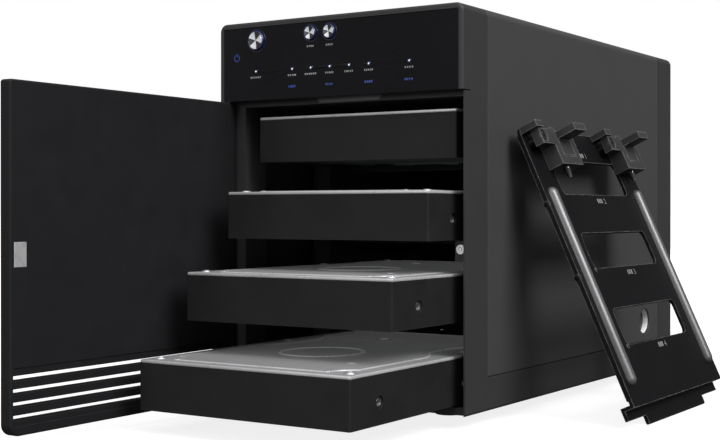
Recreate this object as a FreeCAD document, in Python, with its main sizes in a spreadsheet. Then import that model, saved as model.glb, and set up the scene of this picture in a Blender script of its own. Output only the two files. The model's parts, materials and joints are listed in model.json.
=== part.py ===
"""Four-bay network attached storage box, opened up for loading its drives.

Every piece is drawn in the enclosure's own axes: x from the middle to the right, y from the front
face to the back, z up from the housing's lower edge. placed() then moves it to the origin, which is
on the surface the feet stand on, under the middle of the housing. The door is drawn closed about its
hinge axis and turned open. The drive retainer is drawn flat and then leaned on the right side.
"""
import FreeCAD, Part
import math
import os
import re
import Sketcher
from FreeCAD import Rotation, Vector

doc = FreeCAD.newDocument("DriveEnclosure")

DIMENSIONS = {
    # Housing
    "Width": 126, "Depth": 225, "BodyHeight": 165, "FootHeight": 5.5, "CornerRadius": 3.5,
    "BaseRadius": 1.5, "EdgeRadius": 1.2, "ShellWall": 2, "BezelDepth": 20, "RearBezelDepth": 20,
    "SkirtHeight": 14.3, "SeamGap": 0.3, "Clear": 0.3, "SheetMetal": 1.2, "Board": 1.6, "Over": 1,
    # Front opening and its control panel
    "PanelBottom": 130.5, "PanelThick": 1.2, "PanelLeft": 60.6, "PanelRight": 61, "PanelTop": 162.6,
    "PanelSetback": 0.2, "PanelGap": 0.1, "WebBack": 5, "CeilingLow": 128.1, "DoorRecess": 5.8,
    "LipWall": 0.8, "LipFront": 1.8, "LipNotch": 0.5, "BayLeft": -53, "BayRight": 60.4,
    "SillHeight": 3, "CheekBack": 7.8, "CheekLeft": -61, "CheekRight": -55, "PanelRoomLow": 132.5,
    "StripWide": 33.6, "StripLow": 128.6, "StripFront": 5.6, "StripBack": 7, "StripMiddle": 3.5,
    "StripSlant": 1.4, "StripCorner": 0.9,
    # Buttons and lamps, on a ten millimetre raster
    "Raster": 10, "LampLeft": -42.4, "LampRow": 143.15, "LampRadius": 0.6, "PowerAcross": -42,
    "PowerUp": 156.6, "PowerRadius": 4.3, "KeyAcross": -12.5, "KeyUp": 157.9, "KeyRadius": 3.1,
    "ButtonGap": 0.15, "ButtonProud": 1, "ButtonBevel": 0.5, "FlangeFront": 5.1, "FlangeBack": 6.1,
    "FlangeWide": 1, "StemRadius": 1.2, "StemBack": 8, "PlungerFront": 9.4, "PlungerRadius": 1.5,
    "SwitchFront": 10.5, "SwitchSide": 6, "PanelBoard": 14, "PanelBoardLow": 134,
    "PanelBoardHigh": 161, "PanelBoardHalf": 57,
    # Door and hinge
    "HingeAcross": -60, "HingeDeep": 2.75, "DoorThick": 5.5, "DoorReach": 122, "DoorLow": -0.4,
    "DoorHigh": 130.2, "DoorCorner": 4.5, "DoorTopCorner": 1.2, "DoorEdge": 0.8, "DoorOpen": 90,
    "PinRadius": 1, "PinGap": 0.05, "PinHold": 5, "PinLow": 0.4, "PinHigh": 134.2, "PinBore": 134.5,
    "EarHigh": 3.2, "EarReach": 4.2, "EarFront": 0.4, "EarNotch": 5.8, "SlotPitch": 4.83,
    "SlotHigh": 2, "SlotLow": 5.3, "SlotStart": 8, "SlotEnd": 120.3, "BandLow": 3.2,
    "BandHigh": 24.7, "BandStart": 6.5, "BandEnd": 120.6, "BandDeep": 0.4, "StrikeLow": 61.5,
    "StrikeHigh": 70.7, "StrikeStart": 114.6, "StrikeEnd": 120.2, "StrikeThick": 0.8,
    "StrikeSunk": 0.6, "MagnetAcross": 58.4, "MagnetUp": 66.6, "MagnetRadius": 2,
    "MagnetFront": 5.6, "BracketLeft": 55.9, "BracketRight": 61.4, "BracketLow": 61.6,
    "BracketHigh": 70, "BracketBack": 6.8,
    # Drives and the cage that guides them
    "DriveWide": 101.6, "DriveLong": 147, "DriveMiddle": 6, "BayFloor": 3.96, "BayPitch": 33.19,
    "FirstFront": 5.4, "SecondFront": -15.7, "ThirdFront": -40.9, "FourthFront": -67.4,
    "CastHigh": 18.6, "CastCorner": 0.8, "CastBackCorner": 2, "LidThick": 1.2, "LidInset": 0.1,
    "LidCorner": 0.8, "RingRadius": 17, "RingWide": 1.6, "RingProud": 0.3, "RingAcross": -3,
    "RingBack": 55.5, "PivotRadius": 4.5, "PivotAcross": -10, "PivotBack": 112,
    "LidScrewRadius": 2.3, "LidScrewProud": 0.6, "LidScrewAcross": 46, "LidScrewFront": 6.8,
    "LidScrewMiddle": 87, "LidScrewBack": 140, "SideHoleFront": 18.5, "SideHolePitch": 60,
    "SideHoleUp": 8.4, "SideHoleRadius": 1.6, "SideHoleDeep": 4, "SinkRadius": 2.4, "SinkDeep": 0.5,
    "SocketAcross": -20, "SocketHalf": 21, "SocketLow": 5.5, "SocketHigh": 10.5, "SocketDeep": 6.5,
    "BoardPocket": 2.4, "BoardPocketFront": 40, "BoardPocketBack": 140, "BoardPocketHalf": 44,
    "DriveBoardLow": 0.6, "DriveBoardHigh": 2.2, "DriveBoardGap": 1, "CageFront": 58.8,
    "CageBack": 160, "CageTop": 127.6, "CageGap": 1.3, "LedgeWide": 6.2, "LeftFlange": -55.7,
    "RightFlange": 60.9, "RailGap": 0.3, "BarDrop": 0.5, "BarHigh": 2.4, "TrayFloor": 2.2,
    "BackplaneFront": 161.3, "BackplaneSide": 1, "PlugFront": 157.3, "PlugHalf": 20,
    "TongueFront": 152.5, "TongueLow": 7.4, "TongueHigh": 8.6, "TongueHalf": 18.5,
    # Rear wall and fan
    "RearPlate": 219, "RearHalf": 59.5, "FanHalf": 40, "FanFront": 193.6, "FanBack": 218.8,
    "FanAcross": 6, "FanUp": 66, "FanBore": 38, "FanHub": 17, "FanHole": 35.75, "StrutThick": 2,
    "StrutHalf": 1.6, "StatorRadius": 15, "RotorFront": 196.2, "RotorBack": 215.5, "BladeTip": 36.6,
    "BladeFront": 197.5, "BladeBack": 213.5, "BladeSweep": 6.5, "BladeThick": 1.3,
    "GrilleBack": 221.2, "WireRadius": 0.8, "WirePitch": 8, "WireFirst": 10, "EyeRadius": 3.2,
    "FanScrewHead": 3.9, "ScrewShank": 1.5, "ScrewHigh": 1.3, "CaseScrewHead": 2.6,
    "CaseScrewAcross": 56, "CaseScrewLow": 12, "CaseScrewPitch": 70.5, "ScrewTab": 4,
    "TabFront": 215, "ShelfUp": 128.7, "ShelfHalf": 60.6, "MainBoardUp": 135.6,
    "MainBoardFront": 24, "MainBoardBack": 214, "MainBoardHalf": 50, "StandoffAcross": 46,
    "StandoffRadius": 2.5, "PortFront": 206, "PortBack": 220.6, "UsbLeft": -32, "UsbWide": 12,
    "UsbHigh": 10.9, "EsataLeft": -8, "EsataWide": 14, "EsataHigh": 5.4, "InletLeft": 20,
    "InletWide": 14, "InletHigh": 11, "PortWall": 0.8, "PortDeep": 9, "InletRadius": 3.2,
    "InletPin": 1.1, "LockBack": 186, "LockUp": 24.6, "LockRadius": 6.7, "LockDeep": 4,
    "LockWall": 0.5, "LockSunk": 0.2, "FootTop": 7.5, "FootRadius": 6.5, "FootAcross": 34,
    "FootFront": 38, "FootBack": 187,
    # Drive retainer, lying flat: x out of its face, y across, z along
    "FrameWide": 102.9, "FrameLong": 124.4, "FrameSheet": 1.6, "FrameFlange": 2.2,
    "FrameLean": 24.91, "TopFlange": 5.6, "TopFlangeStart": 14, "Bite": 0.4, "FrameFoot": 120.75,
    "FrameSide": 36.17, "FrameUp": 3.98, "FrameCorner": 3, "WindowSide": 17, "WindowLow": 25.1,
    "WindowPitch": 34.45, "WindowHigh": 16.2, "WindowCorner": 3, "JoggleDeep": 4.5, "TabHigh": 4,
    "FootTabStart": 18, "FootTabEnd": 83.5, "FootTabReach": 7.11, "NoseRadius": 0.8,
    "PadRadius": 2.8, "PadSunk": 0.2, "PadInset": 6.5, "PadLow": 8.5, "PadHigh": 97,
    "LatchPitch": 69.8, "LatchLeft": 13, "LatchRight": 33, "LatchDeep": 7.3, "LatchLow": 104.8,
    "LatchHigh": 122, "LatchMiddle": 23, "EarLeft": 2.7, "EarBack": 3.2, "EarLow": 114,
    "EarHighEnd": 121.2, "EarScrewAcross": 5.6, "EarScrewUp": 117.7, "EarScrewRadius": 2.7,
    "EarScrewShank": 1.4, "EarScrewSunk": 6.2, "HoodLeft": 0.3, "HoodRight": 6.3, "HoodTop": 124.3,
    "HoodProud": 8.4, "LatchSkin": 1.4, "RoomBack": 5.4, "RoomHalf": 7.5, "RoomLow": 106.6,
    "RoomHigh": 120.6, "SlotTop": 123, "LatchFrontSlot": 108.7, "LatchSlotHalf": 5.7,
    "SlideHalf": 5.4, "SlideWing": 7.2, "SlideFront": 5.2, "SlideBack": 1.7, "SlideLow": 109,
    "SlideHigh": 113.5, "ThumbLow": 116.6, "ThumbHigh": 120, "ThumbProud": 16.4,
    "LatchPinRadius": 1.6, "LatchPinGap": 0.1, "LatchPinIn": 3.4, "LatchPinTip": 100.4,
    "LatchConeLong": 3.8, "LatchTipRadius": 0.85, "CoilRadius": 1.2, "CoilWire": 0.25,
    "CoilPitch": 1.4, "CoilLow": 113.9, "CoilHigh": 120.3,
}

sheet = doc.addObject("Spreadsheet::Sheet", "Dims")
for row, (alias, value) in enumerate(DIMENSIONS.items(), start=1):
    sheet.set("A%d" % row, alias)
    sheet.set("B%d" % row, str(value))
    sheet.setAlias("B%d" % row, alias)
doc.recompute()

NODES = []


def bound(text):
    """An expression that reads the sheet: each alias in the text gets the sheet's name."""
    return re.sub(r"\b([A-Z][A-Za-z]+)\b", r"Dims.\1", str(text))


def bind(thing, **sizes):
    for name, text in sizes.items():
        thing.setExpression(name, bound(text))


def bind_base(thing, x, y, z):
    for axis, text in zip("xyz", (x, y, z)):
        thing.setExpression("Placement.Base.%s" % axis, bound(text))


def placed(label, thing):
    """Name a finished piece and move it from the enclosure's axes to the origin."""
    if thing.TypeId in ("Part::Box", "Part::Cylinder", "Part::Sweep"):
        thing = group(thing)
    thing.Label = label
    bind_base(thing, 0, "-Depth / 2", "FootHeight")
    NODES.append(thing)
    return thing


# Sketches, pads and pockets

PLANES = {"XY": "XY_Plane", "XZ": "XZ_Plane", "YZ": "YZ_Plane"}


def new_body(label):
    body = doc.addObject("PartDesign::Body", "Body_" + label)
    return placed(label, body)


def new_sketch(body, plane, start):
    """A sketch on one of the body's own origin planes, moved along the third axis to start."""
    origin_plane = [p for p in body.Origin.OriginFeatures if p.Role == PLANES[plane]][0]
    sketch = body.newObject("Sketcher::SketchObject", "Sketch")
    sketch.AttachmentSupport = [(origin_plane, "")]
    sketch.MapMode = "FlatFace"
    along = "-(%s)" % start if plane == "XZ" else start
    sketch.setExpression("AttachmentOffset.Base.z", bound(along))
    return sketch


def hold(sketch, geometry, point, across, up):
    """Hold a point at two distances from the sketch's origin."""
    for kind, text in (("DistanceX", across), ("DistanceY", up)):
        index = sketch.addConstraint(Sketcher.Constraint(kind, -1, 1, geometry, point, 1.0))
        sketch.setExpression("Constraints[%d]" % index, bound(text))


def polygon(*corners):
    """An outline through the corners, each given as two expressions."""
    def draw(sketch):
        count = len(corners)
        turns = [2 * math.pi * k / count for k in range(count)]
        ring = [Vector(math.cos(a), math.sin(a), 0) for a in turns]
        first = sketch.GeometryCount
        for k in range(count):
            sketch.addGeometry(Part.LineSegment(ring[k], ring[(k + 1) % count]))
        for k in range(count):
            follower = first + (k + 1) % count
            sketch.addConstraint(Sketcher.Constraint("Coincident", first + k, 2, follower, 1))
        for k, (across, up) in enumerate(corners):
            hold(sketch, first + k, 1, across, up)
    return draw


def rectangle(left, right, low, high):
    return polygon((left, low), (right, low), (right, high), (left, high))


def circle(across, up, radius):
    def draw(sketch):
        index = sketch.addGeometry(Part.Circle(Vector(1, 1, 0), Vector(0, 0, 1), 1.0))
        hold(sketch, index, 3, across, up)
        size = sketch.addConstraint(Sketcher.Constraint("Radius", index, 1.0))
        sketch.setExpression("Constraints[%d]" % size, bound(radius))
    return draw


def extrude(kind, body, plane, start, length, outlines):
    """A pad or pocket that runs from start along the plane's positive normal axis."""
    sketch = new_sketch(body, plane, start)
    for draw in outlines:
        draw(sketch)
    feature = body.newObject("PartDesign::" + kind, kind)
    feature.Profile = sketch
    feature.Reversed = (plane == "XZ") == (kind == "Pad")
    bind(feature, Length=length)
    sketch.Visibility = False
    body.Tip = feature
    return feature


def pad(body, plane, start, length, *outlines):
    return extrude("Pad", body, plane, start, length, outlines)


def pocket(body, plane, start, length, *outlines):
    return extrude("Pocket", body, plane, start, length, outlines)


def revolve(body, outline, kind="Revolution"):
    """Turn an outline in the YZ plane about the Y axis (x across the sketch is y)."""
    sketch = new_sketch(body, "YZ", 0)
    outline(sketch)
    feature = body.newObject("PartDesign::" + kind, kind)
    feature.Profile = sketch
    feature.ReferenceAxis = (sketch, ["H_Axis"])
    body.Tip = feature
    return feature


def round_edges(body, radius, wanted, kind="Fillet"):
    """Fillet or chamfer the body's edges for which wanted(edge) is true."""
    doc.recompute()
    base = body.Tip
    names = ["Edge%d" % k for k, edge in enumerate(base.Shape.Edges, start=1) if wanted(edge)]
    feature = body.newObject("PartDesign::" + kind, kind)
    feature.Base = (base, names)
    bind(feature, **{"Radius" if kind == "Fillet" else "Size": radius})
    body.Tip = feature
    return feature


def size(alias):
    return float(sheet.get(alias))


def runs_along(edge, axis):
    """True for a straight edge parallel to the axis."""
    if edge.Curve.TypeId != "Part::GeomLine":
        return False
    return abs(abs(edge.Curve.Direction.dot(axis)) - 1) < 1e-6


def lies_at(edge, **where):
    """True when every point of the edge has these coordinates."""
    box = edge.BoundBox
    spans = {"x": (box.XMin, box.XMax), "y": (box.YMin, box.YMax), "z": (box.ZMin, box.ZMax)}
    return all(abs(end - value) < 1e-3 for key, value in where.items() for end in spans[key])


# Primitives and booleans

ACROSS = Vector(1, 0, 0)
BACK = Vector(0, 1, 0)
UP = Vector(0, 0, 1)
TURNS = {
    "X": Rotation(BACK, 90),
    "Y": Rotation(ACROSS, -90),
    "Z": Rotation(),
}


def block(x0, x1, y0, y1, z0, z1):
    box = doc.addObject("Part::Box", "Block")
    bind(box, Length="(%s) - (%s)" % (x1, x0), Width="(%s) - (%s)" % (y1, y0),
         Height="(%s) - (%s)" % (z1, z0))
    bind_base(box, x0, y0, z0)
    return box


def rod(axis, x, y, z, radius, length):
    """A cylinder that starts at x, y, z and runs along the positive axis."""
    cylinder = doc.addObject("Part::Cylinder", "Rod")
    bind(cylinder, Radius=radius, Height=length)
    cylinder.Placement = FreeCAD.Placement(Vector(), TURNS[axis])
    bind_base(cylinder, x, y, z)
    return cylinder


def cone(axis, x, y, z, start_radius, end_radius, length):
    shape = doc.addObject("Part::Cone", "Cone")
    bind(shape, Radius1=start_radius, Radius2=end_radius, Height=length)
    shape.Placement = FreeCAD.Placement(Vector(), TURNS[axis])
    bind_base(shape, x, y, z)
    return shape


def ring(axis, x, y, z, radius, wire):
    torus = doc.addObject("Part::Torus", "Ring")
    bind(torus, Radius1=radius, Radius2=wire)
    torus.Placement = FreeCAD.Placement(Vector(), TURNS[axis])
    bind_base(torus, x, y, z)
    return torus


def fused(*pieces):
    joined = doc.addObject("Part::MultiFuse", "Fused")
    joined.Shapes = list(pieces)
    return joined


def cut(base, *tools):
    result = doc.addObject("Part::Cut", "Cut")
    result.Base = base
    result.Tool = tools[0] if len(tools) == 1 else fused(*tools)
    return result


def group(*pieces):
    together = doc.addObject("Part::Compound", "Group")
    together.Links = list(pieces)
    return together


# The housing

def side_edge(edge, up):
    """An edge along y on the housing's left or right face, at that height."""
    on_side = abs(abs(edge.BoundBox.XMin) - size("Width") / 2) < 1e-3
    return runs_along(edge, BACK) and on_side and lies_at(edge, z=up)


def round_long_edges(body, low=True, high=True):
    """Round the housing's long edges: the upper pair wide, the lower pair tight."""
    if high:
        round_edges(body, "CornerRadius", lambda edge: side_edge(edge, size("BodyHeight")))
    if low:
        round_edges(body, "BaseRadius", lambda edge: side_edge(edge, 0))


def lamp_places():
    """Seven lamps on the raster: link, then five modes, then busy."""
    return ["LampLeft + %d * Raster" % step for step in (0, 2, 3, 4, 5, 6, 8)]


BUTTONS = {
    "power_button": ("PowerAcross", "PowerUp", "PowerRadius"),
    "sync_button": ("KeyAcross", "KeyUp", "KeyRadius"),
    "mode_button": ("KeyAcross + Raster", "KeyUp", "KeyRadius"),
}


def button_holes():
    return [circle(across, up, radius + " + ButtonGap") for across, up, radius in BUTTONS.values()]


def lamp_holes():
    return [circle(across, "LampRow", "LampRadius") for across in lamp_places()]


def strip_outline():
    left, right = "StripMiddle - StripWide / 2", "StripMiddle + StripWide / 2"
    return polygon((left, "PanelBottom"), (left + " + StripSlant", "StripLow"),
                   (right + " - StripSlant", "StripLow"), (right, "PanelBottom"))


def front_bezel():
    body = new_body("front_bezel")
    pad(body, "XZ", 0, "BezelDepth", rectangle("-Width / 2", "Width / 2", 0, "BodyHeight"))
    round_long_edges(body)
    round_edges(body, "EdgeRadius", lambda edge: lies_at(edge, y=0))
    pocket(body, "XZ", 0, "PanelSetback + PanelThick",
           rectangle("-PanelLeft", "PanelRight", "PanelBottom", "PanelTop"))
    pocket(body, "XZ", 0, "DoorRecess", rectangle("-Width", "Width / 2 - LipWall", "-Width", "PanelBottom"))
    lip = ("Width / 2 - LipWall - Over", "Width / 2 + Over")
    pocket(body, "XZ", 0, "LipFront", rectangle(*lip, "-Width", "PanelBottom"))
    pocket(body, "XZ", 0, "DoorRecess", rectangle(*lip, "PanelBottom - LipNotch", "PanelBottom"))
    pocket(body, "XZ", 0, "BezelDepth + Over", rectangle("BayLeft", "BayRight", "SillHeight", "CeilingLow"))
    pocket(body, "XZ", "CheekBack", "BezelDepth",
           rectangle("CheekLeft", "CheekRight", "SillHeight", "CeilingLow"))
    pocket(body, "XZ", "WebBack", "BezelDepth",
           rectangle("-RearHalf", "RearHalf", "PanelRoomLow", "BodyHeight - SillHeight"))
    pocket(body, "XZ", 0, "WebBack + Over", *button_holes(), *lamp_holes())
    pocket(body, "XZ", "DoorRecess", "StripBack - DoorRecess", strip_outline())
    pocket(body, "XZ", "DoorRecess", "BracketBack - DoorRecess",
           rectangle("BracketLeft", "BracketRight", "BracketLow", "BracketHigh"))
    pad(body, "XY", 0, "EarHigh",
        rectangle("-Width / 2 + EarFront", "HingeAcross + EarReach", "EarFront", "DoorRecess + Over"))
    pocket(body, "XY", -1, "EarHigh + 2 * Over", circle("HingeAcross", "HingeDeep", "PinRadius + PinGap"))
    pocket(body, "XY", "PanelBottom - Over", "PinBore - PanelBottom + Over",
           circle("HingeAcross", "HingeDeep", "PinRadius + PinGap"))


def control_panel():
    body = new_body("control_panel")
    pad(body, "XZ", "PanelSetback", "PanelThick",
        rectangle("-PanelLeft + PanelGap", "PanelRight - PanelGap", "PanelBottom", "PanelTop - PanelGap"))
    pocket(body, "XZ", 0, "WebBack", *button_holes(), *lamp_holes())


def housing_shell():
    """The cover: two sides and the top of one bent shell, open below."""
    body = new_body("housing_shell")
    start = "BezelDepth + SeamGap / 2"
    length = "Depth - BezelDepth - RearBezelDepth - SeamGap"
    pad(body, "XZ", start, length, rectangle("-Width / 2", "Width / 2", "SkirtHeight", "BodyHeight"))
    round_long_edges(body, low=False)
    pocket(body, "XZ", 0, "Depth", rectangle("-Width / 2 + ShellWall", "Width / 2 - ShellWall", 0,
                                             "BodyHeight - ShellWall"))
    pocket(body, "YZ", "Width / 2 - ShellWall - Over", "ShellWall + 2 * Over",
           circle("LockBack", "LockUp", "LockRadius"))


def base_tray():
    """The skirt and floor that carry the cage, the feet and the cover."""
    body = new_body("base_tray")
    start = "BezelDepth + SeamGap / 2"
    length = "Depth - BezelDepth - RearBezelDepth - SeamGap"
    pad(body, "XZ", start, length, rectangle("-Width / 2", "Width / 2", 0, "SkirtHeight - SeamGap"))
    round_long_edges(body, high=False)
    pocket(body, "XZ", 0, "Depth", rectangle("-Width / 2 + ShellWall", "Width / 2 - ShellWall",
                                             "TrayFloor", "SkirtHeight"))


def case_screw_places():
    return [(side + "CaseScrewAcross", "CaseScrewLow + %d * CaseScrewPitch" % step)
            for side in ("-", "") for step in range(3)]


def rear_bezel():
    body = new_body("rear_bezel")
    pad(body, "XZ", "Depth - RearBezelDepth", "RearBezelDepth",
        rectangle("-Width / 2", "Width / 2", 0, "BodyHeight"))
    round_long_edges(body)
    round_edges(body, "EdgeRadius * 2", lambda edge: lies_at(edge, y=size("Depth")))
    pocket(body, "XZ", 0, "Depth + Over",
           rectangle("-RearHalf", "RearHalf", "SillHeight", "BodyHeight - SillHeight"))
    for side, edge in (("-", "-RearHalf - Over"), ("", "RearHalf + Over")):
        inner = side + "(CaseScrewAcross - ScrewTab)"
        left, right = (edge, inner) if side else (inner, edge)
        pad(body, "XZ", "TabFront", "RearPlate - TabFront",
            *[rectangle(left, right, up + " - ScrewTab", up + " + ScrewTab")
              for across, up in case_screw_places() if across.startswith("-") == bool(side)])
    pocket(body, "XZ", "TabFront - Over", "Depth",
           *[circle(across, up, "ScrewShank") for across, up in case_screw_places()])


PORTS = {
    "usb": ("UsbLeft", "UsbWide", "UsbHigh"),
    "esata": ("EsataLeft", "EsataWide", "EsataHigh"),
    "power": ("InletLeft", "InletWide", "InletHigh"),
}
PORT_LOW = "MainBoardUp + Board"


def fan_hole_places():
    return [("FanAcross %s FanHole" % dx, "FanUp %s FanHole" % dz) for dx in "+-" for dz in "+-"]


def rear_panel():
    body = new_body("rear_panel")
    pad(body, "XZ", "RearPlate", "SheetMetal",
        rectangle("-RearHalf + PanelGap", "RearHalf - PanelGap", "SillHeight + PanelGap",
                  "BodyHeight - SillHeight - PanelGap"))
    holes = [circle("FanAcross", "FanUp", "FanBore")]
    holes += [circle(across, up, "ScrewShank") for across, up in fan_hole_places() + case_screw_places()]
    for left, wide, high in PORTS.values():
        holes.append(rectangle(left + " - PanelGap", "%s + %s + PanelGap" % (left, wide),
                               PORT_LOW + " - PanelGap", "%s + %s + PanelGap" % (PORT_LOW, high)))
    pocket(body, "XZ", "RearPlate - Over", "SheetMetal + 2 * Over", *holes)


def rear_ports():
    """Sockets on the main board whose mouths come through the rear panel."""
    data_ports = []
    for label, (left, wide, high) in PORTS.items():
        top = "%s + %s" % (PORT_LOW, high)
        right = "%s + %s" % (left, wide)
        shell = block(left, right, "PortFront", "PortBack", PORT_LOW, top)
        if label == "power":
            middle = (left + " + InletWide / 2", "PortBack - PortDeep", PORT_LOW + " + InletHigh / 2")
            hollow = cut(shell, rod("Y", *middle, "InletRadius", "PortDeep + Over"))
            placed("power_inlet", fused(hollow, rod("Y", *middle, "InletPin", "PortDeep - Over")))
            continue
        mouth = block(left + " + PortWall", right + " - PortWall", "PortBack - PortDeep", "PortBack + Over",
                      PORT_LOW + " + PortWall", top + " - PortWall")
        tongue = block(left + " + 3 * PortWall", right + " - 3 * PortWall", "PortFront + Over",
                       "PortBack - Over", PORT_LOW + " + %s / 2 - PortWall" % high,
                       PORT_LOW + " + %s / 2 + PortWall" % high)
        data_ports.append(fused(cut(shell, mouth), tongue))
    placed("data_ports", group(*data_ports))


def screws(label, places, front, head_front, shank_radius, head_radius):
    """Pan-head screws along y: shank from front to the head's seat, head beyond it."""
    pieces = []
    for across, up in places:
        shank = rod("Y", across, front, up, shank_radius, "(%s) - (%s)" % (head_front, front))
        head = cone("Y", across, head_front, up, head_radius, head_radius + " * 0.8", "ScrewHigh")
        pieces.append(fused(shank, head))
    placed(label, group(*pieces))


def small_housing_pieces():
    strip = new_body("door_grip_strip")
    pad(strip, "XZ", "StripFront", "StripBack - StripFront", strip_outline())
    round_edges(strip, "StripCorner", lambda edge: runs_along(edge, BACK)
                and edge.BoundBox.ZMax < size("PanelBottom") - 1)
    magnet_hole = rod("Y", "MagnetAcross", 0, "MagnetUp", "MagnetRadius", "BezelDepth")
    placed("magnet_bracket", cut(block("BracketLeft", "BracketRight", "DoorRecess", "BracketBack",
                                       "BracketLow", "BracketHigh"), magnet_hole))
    placed("door_magnet", rod("Y", "MagnetAcross", "MagnetFront", "MagnetUp", "MagnetRadius",
                              "BracketBack - MagnetFront"))
    lock = rod("X", "Width / 2 - LockDeep", "LockBack", "LockUp", "LockRadius", "LockDeep - LockSunk")
    well = rod("X", "Width / 2 - LockDeep + LockWall", "LockBack", "LockUp", "LockRadius - LockWall",
               "LockDeep")
    placed("lock_port", cut(lock, well))
    feet = [cone("Z", side + "FootAcross", back, "-FootHeight", "FootRadius", "FootTop", "FootHeight")
            for side in ("", "-") for back in ("FootFront", "FootBack")]
    placed("rubber_feet", group(*feet))
    placed("light_pipes", group(*[rod("Y", across, "PanelSetback", "LampRow", "LampRadius",
                                      "PanelBoard - PanelSetback") for across in lamp_places()]))
    placed("panel_board", block("-PanelBoardHalf", "PanelBoardHalf", "PanelBoard", "PanelBoard + Board",
                                "PanelBoardLow", "PanelBoardHigh"))
    switches = []
    for across, up, _ in BUTTONS.values():
        case = block(across + " - SwitchSide / 2", across + " + SwitchSide / 2", "SwitchFront", "PanelBoard",
                     up + " - SwitchSide / 2", up + " + SwitchSide / 2")
        plunger = rod("Y", across, "PlungerFront", up, "PlungerRadius", "SwitchFront - PlungerFront")
        switches.append(fused(case, plunger))
    placed("tact_switches", group(*switches))


def electronics():
    placed("top_shelf", block("-ShelfHalf", "ShelfHalf", "BezelDepth + Clear", "FanFront", "ShelfUp",
                              "ShelfUp + SheetMetal"))
    placed("main_board", block("-MainBoardHalf", "MainBoardHalf", "MainBoardFront", "MainBoardBack",
                               "MainBoardUp", PORT_LOW))
    posts = [rod("Z", side + "StandoffAcross", back, "ShelfUp + SheetMetal", "StandoffRadius",
                 "MainBoardUp - ShelfUp - SheetMetal")
             for side in ("-", "") for back in ("MainBoardFront + 5", "FanFront - 5")]
    placed("board_standoffs", group(*posts))
    screws("case_screws", case_screw_places(), "TabFront", "RearPlate + SheetMetal", "ScrewShank",
           "CaseScrewHead")


# The drive cage and the backplane

BAYS = range(4)


def bay_bottom(bay):
    """Height of a bay's drive, counted from the lowest bay."""
    return "BayFloor + %d * BayPitch" % bay


CAGE_LEFT = "DriveMiddle - DriveWide / 2 - CageGap"
CAGE_RIGHT = "DriveMiddle + DriveWide / 2 + CageGap"


def cage_wall(label, outer, inner, ledge_from, ledge_to, flange_from, flange_to):
    pieces = [block(outer, inner, "CageFront", "CageBack", "TrayFloor", "CageTop"),
              block(flange_from, flange_to, "CageFront", "CageFront + SheetMetal", "TrayFloor", "CageTop")]
    for bay in BAYS:
        top = bay_bottom(bay) + " - RailGap"
        pieces.append(block(ledge_from, ledge_to, "CageFront", "CageBack", top + " - SheetMetal", top))
    placed(label, fused(*pieces))


def drive_cage():
    cage_wall("cage_left", CAGE_LEFT + " - SheetMetal", CAGE_LEFT, CAGE_LEFT, CAGE_LEFT + " + LedgeWide",
              "LeftFlange", CAGE_LEFT)
    cage_wall("cage_right", CAGE_RIGHT, CAGE_RIGHT + " + SheetMetal", CAGE_RIGHT + " - LedgeWide", CAGE_RIGHT,
              CAGE_RIGHT, "RightFlange")
    bars = []
    for bay in BAYS[1:]:
        top = bay_bottom(bay) + " - BarDrop"
        bars.append(block(CAGE_LEFT + " - SheetMetal", CAGE_RIGHT + " + SheetMetal", "CageFront - SheetMetal",
                          "CageFront", top + " - BarHigh", top))
    placed("cage_cross_bars", group(*bars))


def backplane():
    placed("backplane_board", block(CAGE_LEFT + " + BackplaneSide", CAGE_RIGHT + " - BackplaneSide",
                                    "BackplaneFront", "BackplaneFront + Board", "SillHeight", "CageTop"))
    middle = "DriveMiddle + SocketAcross"
    plugs = []
    for bay in BAYS:
        low = bay_bottom(bay)
        case = block(middle + " - PlugHalf", middle + " + PlugHalf", "PlugFront", "BackplaneFront",
                     low + " + SocketLow", low + " + SocketHigh")
        tongue = block(middle + " - TongueHalf", middle + " + TongueHalf", "TongueFront", "PlugFront",
                       low + " + TongueLow", low + " + TongueHigh")
        plugs.append(fused(case, tongue))
    placed("backplane_connectors", group(*plugs))


# The fan

def fan_frame():
    body = new_body("fan_frame")
    square = rectangle("FanAcross - FanHalf", "FanAcross + FanHalf", "FanUp - FanHalf", "FanUp + FanHalf")
    pad(body, "XZ", "FanFront", "FanBack - FanFront", square)
    pocket(body, "XZ", "FanFront - Over", "Depth", circle("FanAcross", "FanUp", "FanBore"))
    pocket(body, "XZ", "FanFront - Over", "Depth",
           *[circle(across, up, "ScrewShank") for across, up in fan_hole_places()])
    pad(body, "XZ", "FanFront", "StrutThick",
        rectangle("FanAcross - FanBore - Over", "FanAcross + FanBore + Over",
                  "FanUp - StrutHalf", "FanUp + StrutHalf"))
    pad(body, "XZ", "FanFront", "StrutThick",
        rectangle("FanAcross - StrutHalf", "FanAcross + StrutHalf",
                  "FanUp - FanBore - Over", "FanUp + FanBore + Over"))
    pad(body, "XZ", "FanFront", "StrutThick", circle("FanAcross", "FanUp", "StatorRadius"))


def fan_rotor():
    """A hub with seven swept blades about the y axis, drawn on the axis and moved to the fan's middle."""
    body = new_body("fan_rotor")
    revolve(body, rectangle("RotorFront", "RotorBack", 0, "FanHub"))
    root = "(FanHub - Over)"
    pad(body, "YZ", root, "BladeTip - " + root,
        polygon(("BladeFront", "-BladeSweep"), ("BladeFront + BladeThick", "-BladeSweep"),
                ("BladeBack", "BladeSweep"), ("BladeBack - BladeThick", "BladeSweep")))
    blades = body.newObject("PartDesign::PolarPattern", "PolarPattern")
    blades.Originals = [body.Tip]
    axis = [line for line in body.Origin.OriginFeatures if line.Role == "Y_Axis"][0]
    blades.Axis = (axis, [""])
    blades.Angle = 360
    blades.Occurrences = 7
    body.Tip = blades
    bind_base(body, "FanAcross", "-Depth / 2", "FanUp + FootHeight")


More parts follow.
